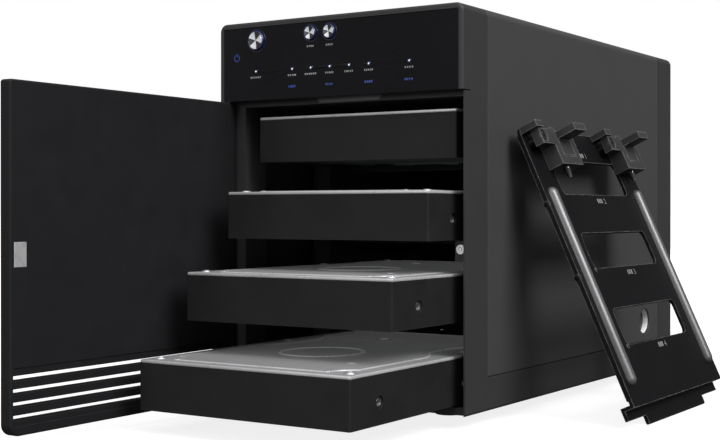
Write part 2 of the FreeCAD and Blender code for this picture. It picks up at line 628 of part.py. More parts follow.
def fan_grille():
    wires = [ring("Y", "FanAcross", "GrilleBack", "FanUp", "WireFirst + %d * WirePitch" % step, "WireRadius")
             for step in range(4)]
    for across, up in fan_hole_places():
        wires.append(ring("Y", across, "GrilleBack", up, "EyeRadius", "WireRadius"))
    reach = math.sqrt(2) * size("FanHole") - size("EyeRadius")
    for turn in (45, 135, 225, 315):
        spoke = doc.addObject("Part::Cylinder", "Spoke")
        bind(spoke, Radius="WireRadius", Height="%.4f - WireFirst" % reach)
        direction = Vector(math.cos(math.radians(turn)), 0, math.sin(math.radians(turn)))
        spoke.Placement = FreeCAD.Placement(Vector(), Rotation(UP, direction))
        inner = ["WireFirst * %.6f" % part for part in (direction.x, direction.z)]
        bind_base(spoke, "FanAcross + " + inner[0], "GrilleBack", "FanUp + " + inner[1])
        wires.append(spoke)
    placed("fan_grille", fused(*wires))
    screws("fan_screws", fan_hole_places(), "FanFront + 5 * Over", "GrilleBack + WireRadius", "ScrewShank",
           "FanScrewHead")


# Buttons

def button(label, across, up, radius):
    """A turned cap with a flange behind the web and a stem that reaches the switch."""
    body = new_body(label)
    revolve(body, polygon(("-ButtonProud", 0), ("-ButtonProud", radius + " - ButtonBevel"),
                          ("-ButtonProud + ButtonBevel", radius), ("FlangeFront", radius),
                          ("FlangeFront", radius + " + FlangeWide"),
                          ("FlangeBack", radius + " + FlangeWide"),
                          ("FlangeBack", "StemRadius"), ("StemBack", "StemRadius"), ("StemBack", 0)))
    bind_base(body, across, "-Depth / 2", up + " + FootHeight")


# The door, drawn closed about its hinge axis

def on_door(thing):
    """Open a piece drawn with the closed door about the hinge axis."""
    thing.Placement = FreeCAD.Placement(Vector(), Rotation(UP, -90))
    bind_base(thing, "HingeAcross", "HingeDeep - Depth / 2", "FootHeight")
    thing.setExpression("Placement.Rotation.Angle", bound("-DoorOpen"))


def door_panel():
    body = new_body("door_panel")
    half = size("DoorThick") / 2
    reach = size("DoorReach")
    pad(body, "XZ", "-DoorThick / 2", "DoorThick",
        rectangle("-DoorThick / 2", "DoorReach", "DoorLow", "DoorHigh"))
    round_edges(body, "DoorThick / 2 - 0.01", lambda edge: runs_along(edge, UP) and edge.BoundBox.XMax < 0)
    round_edges(body, "DoorCorner", lambda edge: lies_at(edge, x=reach, z=size("DoorLow")))
    round_edges(body, "DoorTopCorner", lambda edge: lies_at(edge, x=reach, z=size("DoorHigh")))
    round_edges(body, "DoorEdge", lambda edge: (lies_at(edge, y=half) or lies_at(edge, y=-half))
                and edge.BoundBox.XMax > reach - size("DoorCorner"))
    pocket(body, "XY", "DoorLow - Over", "EarHigh + Clear + Over - DoorLow",
           rectangle("-DoorThick", "EarNotch", "-DoorThick", "DoorThick"))
    pocket(body, "XY", "EarHigh", "PinHold + Clear", circle(0, 0, "PinRadius"))
    pocket(body, "XY", "DoorHigh - PinHold", "PinHold + Over", circle(0, 0, "PinRadius"))
    pocket(body, "XZ", "DoorThick / 2 - BandDeep", "BandDeep + Over",
           rectangle("BandStart", "BandEnd", "BandLow", "BandHigh"))
    slot = pocket(body, "XZ", "-DoorThick", "2 * DoorThick",
                  rectangle("SlotStart", "SlotEnd", "SlotLow", "SlotLow + SlotHigh"))
    slots = body.newObject("PartDesign::LinearPattern", "LinearPattern")
    slots.Originals = [slot]
    slots.Direction = (slot.Profile[0], ["V_Axis"])
    slots.Occurrences = 4
    slots.Length = 3 * size("SlotPitch")
    slots.setExpression("Length", bound("3 * SlotPitch"))
    body.Tip = slots
    pocket(body, "XZ", "DoorThick / 2 - StrikeSunk", "StrikeSunk + Over",
           rectangle("StrikeStart", "StrikeEnd", "StrikeLow", "StrikeHigh"))
    on_door(body)


def door_hardware():
    strike = block("StrikeStart", "StrikeEnd", "DoorThick / 2 - StrikeSunk",
                   "DoorThick / 2 - StrikeSunk + StrikeThick", "StrikeLow", "StrikeHigh")
    lower = rod("Z", 0, 0, "PinLow", "PinRadius", "EarHigh + Clear + PinHold - PinLow - Clear")
    upper = rod("Z", 0, 0, "DoorHigh - PinHold", "PinRadius", "PinHigh - DoorHigh + PinHold")
    for label, thing in (("strike_plate", strike), ("hinge_pins", group(lower, upper))):
        on_door(placed(label, thing))


# The drives, each drawn about its own front lower middle

FRONTS = {1: "FirstFront", 2: "SecondFront", 3: "ThirdFront", 4: "FourthFront"}


def in_bay(thing, number):
    """Drive 1 is the top one. Each stands in its bay with its own front."""
    bind_base(thing, "DriveMiddle", FRONTS[number] + " - Depth / 2", bay_bottom(4 - number) + " + FootHeight")


def lid_screw_places():
    return [(side + "LidScrewAcross", back) for side in ("-", "")
            for back in ("LidScrewFront", "LidScrewMiddle", "LidScrewBack")]


def drive_casting(number):
    body = new_body("drive_%d_casting" % number)
    pad(body, "XY", 0, "CastHigh", rectangle("-DriveWide / 2", "DriveWide / 2", 0, "DriveLong"))
    round_edges(body, "CastCorner", lambda edge: runs_along(edge, UP) and edge.BoundBox.YMax < 1)
    round_edges(body, "CastBackCorner", lambda edge: runs_along(edge, UP)
                and edge.BoundBox.YMax > size("DriveLong") - 1)
    pocket(body, "XY", -1, "BoardPocket + Over",
           rectangle("-BoardPocketHalf", "BoardPocketHalf", "BoardPocketFront", "BoardPocketBack"))
    pocket(body, "XZ", "DriveLong - SocketDeep", "SocketDeep + Over",
           rectangle("SocketAcross - SocketHalf", "SocketAcross + SocketHalf", "SocketLow", "SocketHigh"))
    for side, start, sink in (("left", "-DriveWide / 2 - Over", "-DriveWide / 2 - Over"),
                              ("right", "DriveWide / 2 - SideHoleDeep", "DriveWide / 2 - SinkDeep")):
        rows = ["SideHoleFront", "SideHoleFront + SideHolePitch"]
        pocket(body, "YZ", start, "SideHoleDeep + Over",
               *[circle(back, "SideHoleUp", "SideHoleRadius") for back in rows])
        pocket(body, "YZ", sink, "SinkDeep + Over",
               *[circle(back, "SideHoleUp", "SinkRadius") for back in rows])
    in_bay(body, number)


def drive_lid(number):
    body = new_body("drive_%d_lid" % number)
    pad(body, "XY", "CastHigh", "LidThick",
        rectangle("-DriveWide / 2 + LidInset", "DriveWide / 2 - LidInset",
                  "LidInset", "DriveLong - LidInset"))
    round_edges(body, "LidCorner", lambda edge: runs_along(edge, UP))
    top = "CastHigh + LidThick"
    pad(body, "XY", top, "RingProud", circle("RingAcross", "RingBack", "RingRadius"),
        circle("RingAcross", "RingBack", "RingRadius - RingWide"))
    pad(body, "XY", top, "RingProud", circle("PivotAcross", "PivotBack", "PivotRadius"))
    in_bay(body, number)


def drive_small_pieces(number):
    screws_group = group(*[cone("Z", across, back, "CastHigh + LidThick", "LidScrewRadius",
                                "LidScrewRadius * 0.85", "LidScrewProud")
                           for across, back in lid_screw_places()])
    placed("drive_%d_screws" % number, screws_group)
    board = block("-BoardPocketHalf + DriveBoardGap", "BoardPocketHalf - DriveBoardGap",
                  "BoardPocketFront + DriveBoardGap", "BoardPocketBack - DriveBoardGap",
                  "DriveBoardLow", "DriveBoardHigh")
    placed("drive_%d_board" % number, board)
    for thing in NODES[-2:]:
        in_bay(thing, number)


# The drive retainer, drawn flat

def on_retainer(thing):
    """Lean a piece drawn on the flat retainer against the housing's right side."""
    thing.Placement = FreeCAD.Placement(Vector(), Rotation(BACK, -1))
    bind_base(thing, "FrameFoot", "FrameSide - Depth / 2", "FrameUp + FootHeight")
    thing.setExpression("Placement.Rotation.Angle", bound("-FrameLean"))


def retainer_plate():
    body = new_body("retainer_plate")
    back = "-JoggleDeep - FrameSheet"
    pad(body, "YZ", "-FrameSheet", "FrameSheet", rectangle(0, "FrameWide", 0, "FrameLong"))
    round_edges(body, "FrameCorner", lambda edge: runs_along(edge, ACROSS)
                and edge.BoundBox.ZMin > size("FrameLong") - 1)
    window = pocket(body, "YZ", "-FrameSheet - Over", "FrameSheet + 2 * Over",
                    rectangle("WindowSide", "FrameWide - WindowSide", "WindowLow", "WindowLow + WindowHigh"))
    windows = body.newObject("PartDesign::LinearPattern", "LinearPattern")
    windows.Originals = [window]
    windows.Direction = (window.Profile[0], ["V_Axis"])
    windows.Occurrences = 3
    windows.Length = 2 * size("WindowPitch")
    windows.setExpression("Length", bound("2 * WindowPitch"))
    body.Tip = windows
    round_edges(body, "WindowCorner", lambda edge: runs_along(edge, ACROSS)
                and size("WindowSide") - 1 < edge.BoundBox.YMin < size("FrameWide") - size("WindowSide") + 1)
    flange = ("2 * FrameSheet", "FrameLong - FrameCorner")
    pad(body, "YZ", "-FrameFlange", "FrameFlange - FrameSheet + Bite",
        rectangle(0, "FrameSheet", *flange), rectangle("FrameWide - FrameSheet", "FrameWide", *flange))
    pad(body, "YZ", "-TopFlange", "TopFlange - FrameSheet + Bite",
        rectangle("TopFlangeStart", "FrameWide - TopFlangeStart", "FrameLong - FrameSheet", "FrameLong"))
    pad(body, "YZ", back, "JoggleDeep + FrameSheet", rectangle(0, "FrameWide", 0, "FrameSheet"))
    pad(body, "YZ", back, "FrameSheet", rectangle(0, "FrameWide", "-TabHigh", "FrameSheet"))
    pad(body, "YZ", back, "FrameSheet",
        rectangle("FootTabStart", "FootTabEnd", "-FootTabReach - NoseRadius", "-TabHigh + Over"))
    round_edges(body, "NoseRadius - 0.005", lambda edge: runs_along(edge, BACK)
                and edge.BoundBox.ZMax < -size("FootTabReach"))
    pocket(body, "YZ", "-FrameSheet - Over", "FrameSheet + 2 * Over",
           *[circle("EarScrewAcross + %d * LatchPitch" % step, "EarScrewUp", "EarScrewShank")
             for step in (0, 1)])
    on_retainer(body)


def retainer_pads():
    """Two long half-round rubber pads that press on the drives' front faces."""
    pads = []
    for across in ("PadInset", "FrameWide - PadInset"):
        ends = []
        for up in ("PadLow + PadRadius", "PadHigh - PadRadius"):
            ball = doc.addObject("Part::Sphere", "Ball")
            bind(ball, Radius="PadRadius")
            bind_base(ball, "-PadSunk", across, up)
            ends.append(ball)
        bar = rod("Z", "-PadSunk", across, "PadLow + PadRadius", "PadRadius",
                  "PadHigh - PadLow - 2 * PadRadius")
        half = doc.addObject("Part::Common", "Half")
        half.Base = fused(bar, *ends)
        half.Tool = block(0, "PadRadius + Over", across + " - PadRadius - Over",
                          across + " + PadRadius + Over", "PadLow - Over", "PadHigh + Over")
        pads.append(half)
    placed("retainer_pads", group(*pads))
    on_retainer(NODES[-1])


def latch(side, step):
    """A housing screwed to the plate, with a sprung pin slide and its thumb tab."""
    move = " + %d * LatchPitch" % step
    middle = "LatchMiddle" + move
    screw = ("EarScrewAcross" + move, "EarScrewUp")
    solid = fused(block(0, "LatchDeep", "LatchLeft" + move, "LatchRight" + move, "LatchLow", "LatchHigh"),
                  block("EarBack", "LatchDeep", "EarLeft" + move, "LatchLeft" + move, "EarLow", "EarHighEnd"),
                  block(0, "HoodProud", "HoodLeft" + move, "HoodRight" + move, "EarHighEnd", "HoodTop"))
    room = block("LatchSkin", "RoomBack", middle + " - RoomHalf", middle + " + RoomHalf",
                 "RoomLow", "RoomHigh")
    slot = block("RoomBack - Clear", "LatchDeep + Over", middle + " - LatchSlotHalf",
                 middle + " + LatchSlotHalf", "LatchFrontSlot", "SlotTop")
    pin_hole = rod("Z", "LatchPinIn", middle, "LatchLow - Over", "LatchPinRadius + LatchPinGap",
                   "LatchSkin * 3")
    screw_hole = rod("X", "-Over", screw[0], screw[1], "EarScrewShank", "HoodProud")
    sink = rod("X", "EarScrewSunk", screw[0], screw[1], "EarScrewRadius", "HoodProud")
    placed("latch_housing_" + side, cut(solid, room, slot, pin_hole, screw_hole, sink))

    carriage = block("SlideBack", "SlideFront", middle + " - SlideWing", middle + " + SlideWing",
                     "SlideLow", "SlideHigh")
    neck = block("SlideFront", "LatchDeep", middle + " - SlideHalf", middle + " + SlideHalf",
                 "SlideLow", "ThumbHigh")
    thumb = block("LatchDeep", "ThumbProud", middle + " - SlideHalf", middle + " + SlideHalf",
                  "ThumbLow", "ThumbHigh")
    shaft = rod("Z", "LatchPinIn", middle, "LatchPinTip + LatchConeLong", "LatchPinRadius",
                "SlideLow - LatchPinTip - LatchConeLong")
    tip = cone("Z", "LatchPinIn", middle, "LatchPinTip", "LatchTipRadius", "LatchPinRadius", "LatchConeLong")
    placed("latch_slide_" + side, fused(carriage, neck, thumb, shaft, tip))

    coil = doc.addObject("Part::Helix", "Helix")
    bind(coil, Pitch="CoilPitch", Height="CoilHigh - CoilLow", Radius="CoilRadius")
    section = doc.addObject("Part::Circle", "Wire")
    bind(section, Radius="CoilWire")
    section.Placement = FreeCAD.Placement(Vector(), Rotation(ACROSS, 90))
    section.setExpression("Placement.Base.x", bound("CoilRadius"))
    spring = doc.addObject("Part::Sweep", "Spring")
    spring.Sections = [section]
    spring.Spine = (coil, ["Edge1"])
    spring.Solid = True
    spring.Frenet = True
    bind_base(spring, "LatchPinIn", middle, "CoilLow")
    placed("latch_spring_" + side, spring)
    for thing in NODES[-3:]:
        on_retainer(thing)


def latch_screws():
    pieces = []
    for step in (0, 1):
        place = ("EarScrewAcross + %d * LatchPitch" % step, "EarScrewUp")
        shank = rod("X", "-FrameSheet", *place, "EarScrewShank", "EarScrewSunk + FrameSheet")
        head = cone("X", "EarScrewSunk", *place, "EarScrewRadius", "EarScrewRadius * 0.85", "ScrewHigh")
        pieces.append(fused(shank, head))
    placed("latch_screws", group(*pieces))
    on_retainer(NODES[-1])


def build():
    front_bezel()
    control_panel()
    housing_shell()
    base_tray()
    rear_bezel()
    rear_panel()
    rear_ports()
    small_housing_pieces()
    electronics()
    drive_cage()
    backplane()
    fan_frame()
    fan_rotor()
    fan_grille()
    for label, where in BUTTONS.items():
        button(label, *where)
    door_panel()
    door_hardware()
    for number in FRONTS:
        drive_casting(number)
        drive_lid(number)
        drive_small_pieces(number)
    retainer_plate()
    retainer_pads()
    latch("left", 0)
    latch("right", 1)
    latch_screws()
    doc.recompute()


def check():
    """Stop on any failed object, empty or broken shape, or pocket that cuts nothing."""
    for thing in doc.Objects:
        if {"Invalid", "Error"} & set(thing.State):
            raise RuntimeError("%s failed: %s" % (thing.Name, thing.State))
        if thing.TypeId == "PartDesign::Pocket":
            taken = thing.BaseFeature.Shape.Volume - thing.Shape.Volume
            if taken < 1e-3:
                raise RuntimeError("%s in %s cuts nothing" % (thing.Name, thing.getParent().Label))
    for thing in NODES:
        if thing.Shape.isNull() or not thing.Shape.isValid() or not thing.Shape.Solids:
            raise RuntimeError("%s has no sound solid" % thing.Label)


def export():
    os.makedirs("parts", exist_ok=True)
    for thing in NODES:
        thing.Shape.exportStep(os.path.join("parts", thing.Label + ".step"))
        box = thing.Shape.BoundBox
        print("%-24s %2d solids %9.1f mm3  x %7.1f %7.1f  y %7.1f %7.1f  z %6.1f %6.1f" % (
            thing.Label, len(thing.Shape.Solids), thing.Shape.Volume,
            box.XMin, box.XMax, box.YMin, box.YMax, box.ZMin, box.ZMax))


build()
check()
export()
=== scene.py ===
"""Looks for the four-bay drive enclosure: finer pieces, materials, light and camera round the CAD frame."""
import json
import math
import random

import bmesh
import bpy
from mathutils import Matrix, Vector


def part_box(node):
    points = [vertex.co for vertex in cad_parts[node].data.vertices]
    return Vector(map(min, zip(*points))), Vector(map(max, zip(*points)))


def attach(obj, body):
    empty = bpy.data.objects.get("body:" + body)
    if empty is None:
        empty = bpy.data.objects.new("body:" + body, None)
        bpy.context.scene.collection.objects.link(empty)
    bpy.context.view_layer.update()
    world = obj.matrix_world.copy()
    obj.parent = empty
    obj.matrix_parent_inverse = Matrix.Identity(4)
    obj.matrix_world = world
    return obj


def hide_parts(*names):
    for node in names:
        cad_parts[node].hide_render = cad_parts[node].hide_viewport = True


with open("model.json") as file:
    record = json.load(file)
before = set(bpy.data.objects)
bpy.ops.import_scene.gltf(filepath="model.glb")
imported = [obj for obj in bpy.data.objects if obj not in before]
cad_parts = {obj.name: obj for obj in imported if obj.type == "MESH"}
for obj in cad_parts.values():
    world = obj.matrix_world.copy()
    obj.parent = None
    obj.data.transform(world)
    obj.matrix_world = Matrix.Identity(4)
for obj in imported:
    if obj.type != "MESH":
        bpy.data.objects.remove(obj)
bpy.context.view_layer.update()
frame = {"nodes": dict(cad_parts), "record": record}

MM = 0.001
random.seed(4)


# Places, read from the CAD nodes

def lo(node):
    """The least corner of a CAD node's box."""
    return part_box(node)[0]


def middle(node):
    """The middle of a CAD node's box."""
    low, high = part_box(node)
    return (low + high) / 2


GROUND = Vector((0, lo("front_bezel").y, lo("front_bezel").z))


def enclosure(x, y, z):
    """A point given in millimetres from the housing's front lower middle edge."""
    return GROUND + Vector((x, y, z)) * MM


def axes_at(origin, x_axis, y_axis, z_axis):
    """A matrix that takes millimetres on these axes to the row frame."""
    turned = Matrix((x_axis, y_axis, z_axis)).transposed().to_4x4()
    return Matrix.Translation(origin) @ turned @ Matrix.Scale(MM, 4)


X, Y, Z = Vector((1, 0, 0)), Vector((0, 1, 0)), Vector((0, 0, 1))
LEAN = math.radians(24.91)
RETAINER = axes_at(enclosure(120.75, 36.17, 3.98),
                   Vector((math.cos(LEAN), 0, math.sin(LEAN))), Y,
                   Vector((-math.sin(LEAN), 0, math.cos(LEAN))))


def facing_front(x, y, z):
    """Local z points out of the front, local x to the right."""
    return axes_at(enclosure(x, y, z), X, Z, -Y)


def facing_back(x, y, z):
    """Local z points out of the back, local x to the left as seen from the front."""
    return axes_at(enclosure(x, y, z), -X, Z, Y)


def on_retainer(out, across, along):
    """Local z points out of the retainer's plate, from a place that far out of it, across it and up it."""
    return RETAINER @ Matrix(((0, 0, 1, out), (1, 0, 0, across), (0, 1, 0, along), (0, 0, 0, 1)))


def drive_axes(number):
    """A drive's own axes: x from its middle, y from its front, z from its underside."""
    low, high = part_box("drive_%d_casting" % number)
    return axes_at(Vector(((low.x + high.x) / 2, low.y, low.z)), X, Y, Z)


# Node materials

def link(tree, a, b):
    tree.links.new(a, b)


def maths(tree, operation, *values):
    """A maths node on sockets and plain numbers."""
    node = tree.nodes.new("ShaderNodeMath")
    node.operation = operation
    for socket, value in zip(node.inputs, values):
        if isinstance(value, bpy.types.NodeSocket):
            link(tree, value, socket)
        else:
            socket.default_value = value
    return node.outputs[0]


def mapped(tree, value, from_low, from_high, to_low=0.0, to_high=1.0):
    """A value carried from one range to another, and held at its ends."""
    node = tree.nodes.new("ShaderNodeMapRange")
    node.inputs["From Min"].default_value = from_low
    node.inputs["From Max"].default_value = from_high
    node.inputs["To Min"].default_value = to_low
    node.inputs["To Max"].default_value = to_high
    link(tree, value, node.inputs["Value"])
    return node.outputs["Result"]


def new_material(name):
    """An empty material, its node tree and its shader."""
    made = bpy.data.materials.new(name)
    made.use_nodes = True
    tree = made.node_tree
    shader = tree.nodes["Principled BSDF"]
    return made, tree, shader


def noise(tree, coords, scale, detail=3.0, rough=0.55, stretch=None):
    """A noise value on these coordinates, drawn out by stretch for a brushed look."""
    node = tree.nodes.new("ShaderNodeTexNoise")
    node.inputs["Scale"].default_value = scale
    node.inputs["Detail"].default_value = detail
    node.inputs["Roughness"].default_value = rough
    if stretch:
        mapping = tree.nodes.new("ShaderNodeMapping")
        mapping.inputs["Scale"].default_value = stretch
        link(tree, coords, mapping.inputs["Vector"])
        coords = mapping.outputs["Vector"]
    link(tree, coords, node.inputs["Vector"])
    return node.outputs["Fac"]


def spread(tree, value, low, high):
    """A noise value, which stays mostly between 0.3 and 0.7, spread over low to high."""
    return mapped(tree, value, 0.3, 0.7, low, high)


def mix_colour(tree, share, a, b):
    """Colour a where share is 0 and colour b where it is 1. Each is a socket or plain numbers."""
    node = tree.nodes.new("ShaderNodeMix")
    node.data_type = "RGBA"
    for socket, value in ((node.inputs[6], a), (node.inputs[7], b)):
        if isinstance(value, bpy.types.NodeSocket):
            link(tree, value, socket)
        else:
            socket.default_value = (*value, 1)
    link(tree, share, node.inputs[0])
    return node.outputs[2]


def bumped(tree, shader, height, distance):
    """A fine bump, as high as distance in metres."""
    node = tree.nodes.new("ShaderNodeBump")
    node.inputs["Distance"].default_value = distance
    node.inputs["Strength"].default_value = 1.0
    link(tree, height, node.inputs["Height"])
    link(tree, node.outputs["Normal"], shader.inputs["Normal"])


def worn(tree, colour, edge_wear_and_highlight, worn_and_highlight_colour, coords, radius):
    """Rubbed edges and painted edge highlights: the worn colour where a rounded normal leaves the true one,
    broken up by noise.
    """
    bevel = tree.nodes.new("ShaderNodeBevel")
    bevel.samples = 4
    bevel.inputs["Radius"].default_value = radius
    geometry = tree.nodes.new("ShaderNodeNewGeometry")
    dot = tree.nodes.new("ShaderNodeVectorMath")
    dot.operation = "DOT_PRODUCT"
    link(tree, bevel.outputs["Normal"], dot.inputs[0])
    link(tree, geometry.outputs["Normal"], dot.inputs[1])
    edge = mapped(tree, dot.outputs["Value"], 0.995, 0.9, 0.0, edge_wear_and_highlight)
    patchy = spread(tree, noise(tree, coords, 260, 4), 0.2, 1.0)
    return mix_colour(tree, maths(tree, "MULTIPLY", edge, patchy), colour, worn_and_highlight_colour)


def surface(name, colour, rough, metallic=0.0, specular=0.5, coat=0.0, mottle=0.12, grain=0.0,
            grain_scale=2600, swing=0.06, stretch=None, edge_wear_and_highlight=0.0, worn_and_highlight_colour=(0.2, 0.2, 0.2),
            edge=0.0004, dust=0.0):
    """A material with mottled colour, uneven roughness, a fine bump, and rubbed edges, which with a light
    worn colour are painted edge highlights.
    """
    made, tree, shader = new_material(name)
    coords = tree.nodes.new("ShaderNodeTexCoord").outputs["Object"]
    dark = [c * (1 - mottle) for c in colour]
    light = [min(1, c * (1 + mottle)) for c in colour]
    tone = spread(tree, noise(tree, coords, 45, 4, 0.6, stretch), 0, 1)
    shade = mix_colour(tree, tone, dark, light)
    if dust:
        specks = spread(tree, noise(tree, coords, 700, 5, 0.7), -1.2, dust)
        shade = mix_colour(tree, specks, shade, [min(1, c + 0.12) for c in colour])
    if edge_wear_and_highlight:
        shade = worn(tree, shade, edge_wear_and_highlight, worn_and_highlight_colour, coords, edge)
    link(tree, shade, shader.inputs["Base Color"])
    uneven = noise(tree, coords, 90, 4, 0.65, stretch)
    link(tree, spread(tree, uneven, max(0.03, rough - swing), rough + swing), shader.inputs["Roughness"])
    shader.inputs["Metallic"].default_value = metallic
    shader.inputs["Specular IOR Level"].default_value = specular
    shader.inputs["Coat Weight"].default_value = coat
    shader.inputs["Coat Roughness"].default_value = 0.08
    if grain:
        bumped(tree, shader, noise(tree, coords, grain_scale, 2, 0.5, stretch), grain * MM)
    return made


def glowing(name, colour, strength):
    """A lit lens: bright in the middle of its noise, a little uneven."""
    made, tree, shader = new_material(name)
    coords = tree.nodes.new("ShaderNodeTexCoord").outputs["Object"]
    tone = spread(tree, noise(tree, coords, 900, 2), 0, 1)
    shade = mix_colour(tree, tone, [c * 0.85 for c in colour], colour)
    link(tree, shade, shader.inputs["Base Color"])
    link(tree, shade, shader.inputs["Emission Color"])
    link(tree, spread(tree, tone, 0.2, 0.3), shader.inputs["Roughness"])
    shader.inputs["Emission Strength"].default_value = strength
    bumped(tree, shader, tone, 0.01 * MM)
    return made


GLINT_LOBES, GLINT_TURN = 3, 1.1
RIM_BLUE = (0.012, 0.015, 0.06)


def turned(name, centre, colour, rough, reach):
    """Turned metal: fine rings, a painted reflection of their fan of light and dark, and a dark rim at that
    reach.
    """
    made, tree, shader = new_material(name)
    coords = tree.nodes.new("ShaderNodeTexCoord").outputs["Object"]
    moved = tree.nodes.new("ShaderNodeVectorMath")
    moved.operation = "SUBTRACT"
    moved.inputs[1].default_value = centre
    link(tree, coords, moved.inputs[0])
    parts = tree.nodes.new("ShaderNodeSeparateXYZ")
    link(tree, moved.outputs[0], parts.inputs[0])
    angle = maths(tree, "ARCTAN2", parts.outputs["Z"], parts.outputs["X"])
    wave = maths(tree, "SINE", maths(tree, "MULTIPLY_ADD", angle, GLINT_LOBES, GLINT_TURN))
    radius = tree.nodes.new("ShaderNodeVectorMath")
    radius.operation = "LENGTH"
    link(tree, moved.outputs[0], radius.inputs[0])
    rings = tree.nodes.new("ShaderNodeCombineXYZ")
    link(tree, radius.outputs["Value"], rings.inputs[0])
    fine = noise(tree, rings.outputs[0], 9000, 2)
    # Painted reflection: the fan of light and dark wedges round the axis is painted into the base colour.
    fan = mapped(tree, wave, -0.25, 0.15)
    shade = mix_colour(tree, fan, [c * 0.04 for c in colour], colour)
    rim = mapped(tree, radius.outputs["Value"], reach * 0.86 * MM, reach * 0.92 * MM)
    shade = mix_colour(tree, rim, shade, RIM_BLUE)
    link(tree, shade, shader.inputs["Base Color"])
    link(tree, spread(tree, fine, rough - 0.05, rough + 0.05), shader.inputs["Roughness"])
    shader.inputs["Metallic"].default_value = 0.3
    bumped(tree, shader, fine, 0.02 * MM)
    return made


LOOKS = {
    "housing_black": surface("housing_plastic", (0.025, 0.025, 0.026), 0.44, grain=0.012, edge_wear_and_highlight=0.05,
                             mottle=0.04, swing=0.03, worn_and_highlight_colour=(0.06, 0.06, 0.062), specular=0.17),
    "cover_charcoal": surface("cover_paint", (0.035, 0.035, 0.036), 0.42, grain=0.014, grain_scale=1900,
                              edge_wear_and_highlight=0.4, mottle=0.03, swing=0.02, worn_and_highlight_colour=(0.08, 0.08, 0.082),
                              specular=0.2),
    "panel_gloss": surface("panel_lacquer", (0.005, 0.005, 0.006), 0.12, coat=0.04, grain=0.002,
                           grain_scale=300, swing=0.03, specular=0.1),
    "door_black": surface("door_plastic", (0.008, 0.008, 0.009), 0.55, grain=0.015, edge_wear_and_highlight=0.35, mottle=0.06,
                          worn_and_highlight_colour=(0.04, 0.04, 0.04), specular=0.12),
    "steel_plain": surface("zinc_steel", (0.42, 0.42, 0.44), 0.34, 1.0, grain=0.01, mottle=0.2,
                           stretch=(1, 1, 9)),
    "steel_black": surface("black_steel", (0.010, 0.010, 0.011), 0.42, grain=0.010, edge_wear_and_highlight=0.5,
                           worn_and_highlight_colour=(0.05, 0.05, 0.05), specular=0.2),
    "drive_casting": surface("casting_coat", (0.0105, 0.0105, 0.011), 0.52, grain=0.03,
                             grain_scale=1500, edge_wear_and_highlight=0.3, worn_and_highlight_colour=(0.04, 0.04, 0.04), specular=0.12),
    "circuit_green": surface("solder_mask", (0.012, 0.07, 0.035), 0.35, grain=0.02, grain_scale=500,
                             mottle=0.3),
    "connector_black": surface("connector_plastic", (0.018, 0.018, 0.018), 0.45, grain=0.02),
    "rubber_black": surface("foot_rubber", (0.022, 0.022, 0.022), 0.75, grain=0.03, mottle=0.2,
                            dust=0.4, specular=0.3),
    "pad_grey": surface("pad_rubber", (0.085, 0.085, 0.087), 0.36, 0.5, grain=0.006, mottle=0.08,
                        specular=0.45),
    "magnet_white": surface("nickel_plate", (0.80, 0.80, 0.80), 0.35, 0.2, grain=0.005),
    "strip_grey": surface("strip_aluminium", (0.52, 0.52, 0.53), 0.40, 0.7, grain=0.008,
                          stretch=(1, 8, 8)),
    # Grip strip: the light worn colour is a painted highlight along its rounded edges.
    "strip_dark": surface("grip_enamel", (0.075, 0.075, 0.077), 0.35, grain=0.006, edge_wear_and_highlight=0.8,
                          worn_and_highlight_colour=(0.12, 0.12, 0.12), edge=0.0008),
    "screw_steel": surface("screw_zinc", (0.55, 0.55, 0.57), 0.30, 0.75, grain=0.006, mottle=0.2),
    "screw_black": surface("screw_oxide", (0.02, 0.02, 0.021), 0.35, 0.3, grain=0.006, mottle=0.2),
    "fan_black": surface("fan_plastic", (0.016, 0.016, 0.017), 0.40, grain=0.012, specular=0.45),
}
# Latches: the light worn colour is a painted highlight along their rounded corners and edges.
LATCH = surface("latch_plastic", (0.024, 0.024, 0.025), 0.40, grain=0.012, edge_wear_and_highlight=1.0, specular=0.15,
                worn_and_highlight_colour=(0.16, 0.16, 0.162), edge=0.0008)
# Retainer plate: the light worn colour is a painted highlight along its edges.
PLATE = surface("retainer_enamel", (0.0035, 0.0035, 0.004), 0.45, grain=0.010, edge_wear_and_highlight=1.0, specular=0.08,
                worn_and_highlight_colour=(0.16, 0.16, 0.16), edge=0.0005)
BOARD = surface("black_solder_mask", (0.010, 0.010, 0.011), 0.4, grain=0.02, grain_scale=500, mottle=0.3,
                specular=0.2)
NODE_LOOKS = {"retainer_plate": PLATE, "backplane_board": BOARD}
for side in ("left", "right"):
    NODE_LOOKS["latch_housing_" + side] = LATCH
    NODE_LOOKS["latch_slide_" + side] = LATCH
# Drive covers: the light worn colour is a painted highlight along the cover's edge.
LID = surface("lid_aluminium", (0.20, 0.20, 0.204), 0.40, 0.2, grain=0.006, grain_scale=1400,
              stretch=(14, 1, 14), mottle=0.06, swing=0.05, edge_wear_and_highlight=0.9, worn_and_highlight_colour=(0.62, 0.62, 0.63),
              edge=0.0006, specular=0.4)
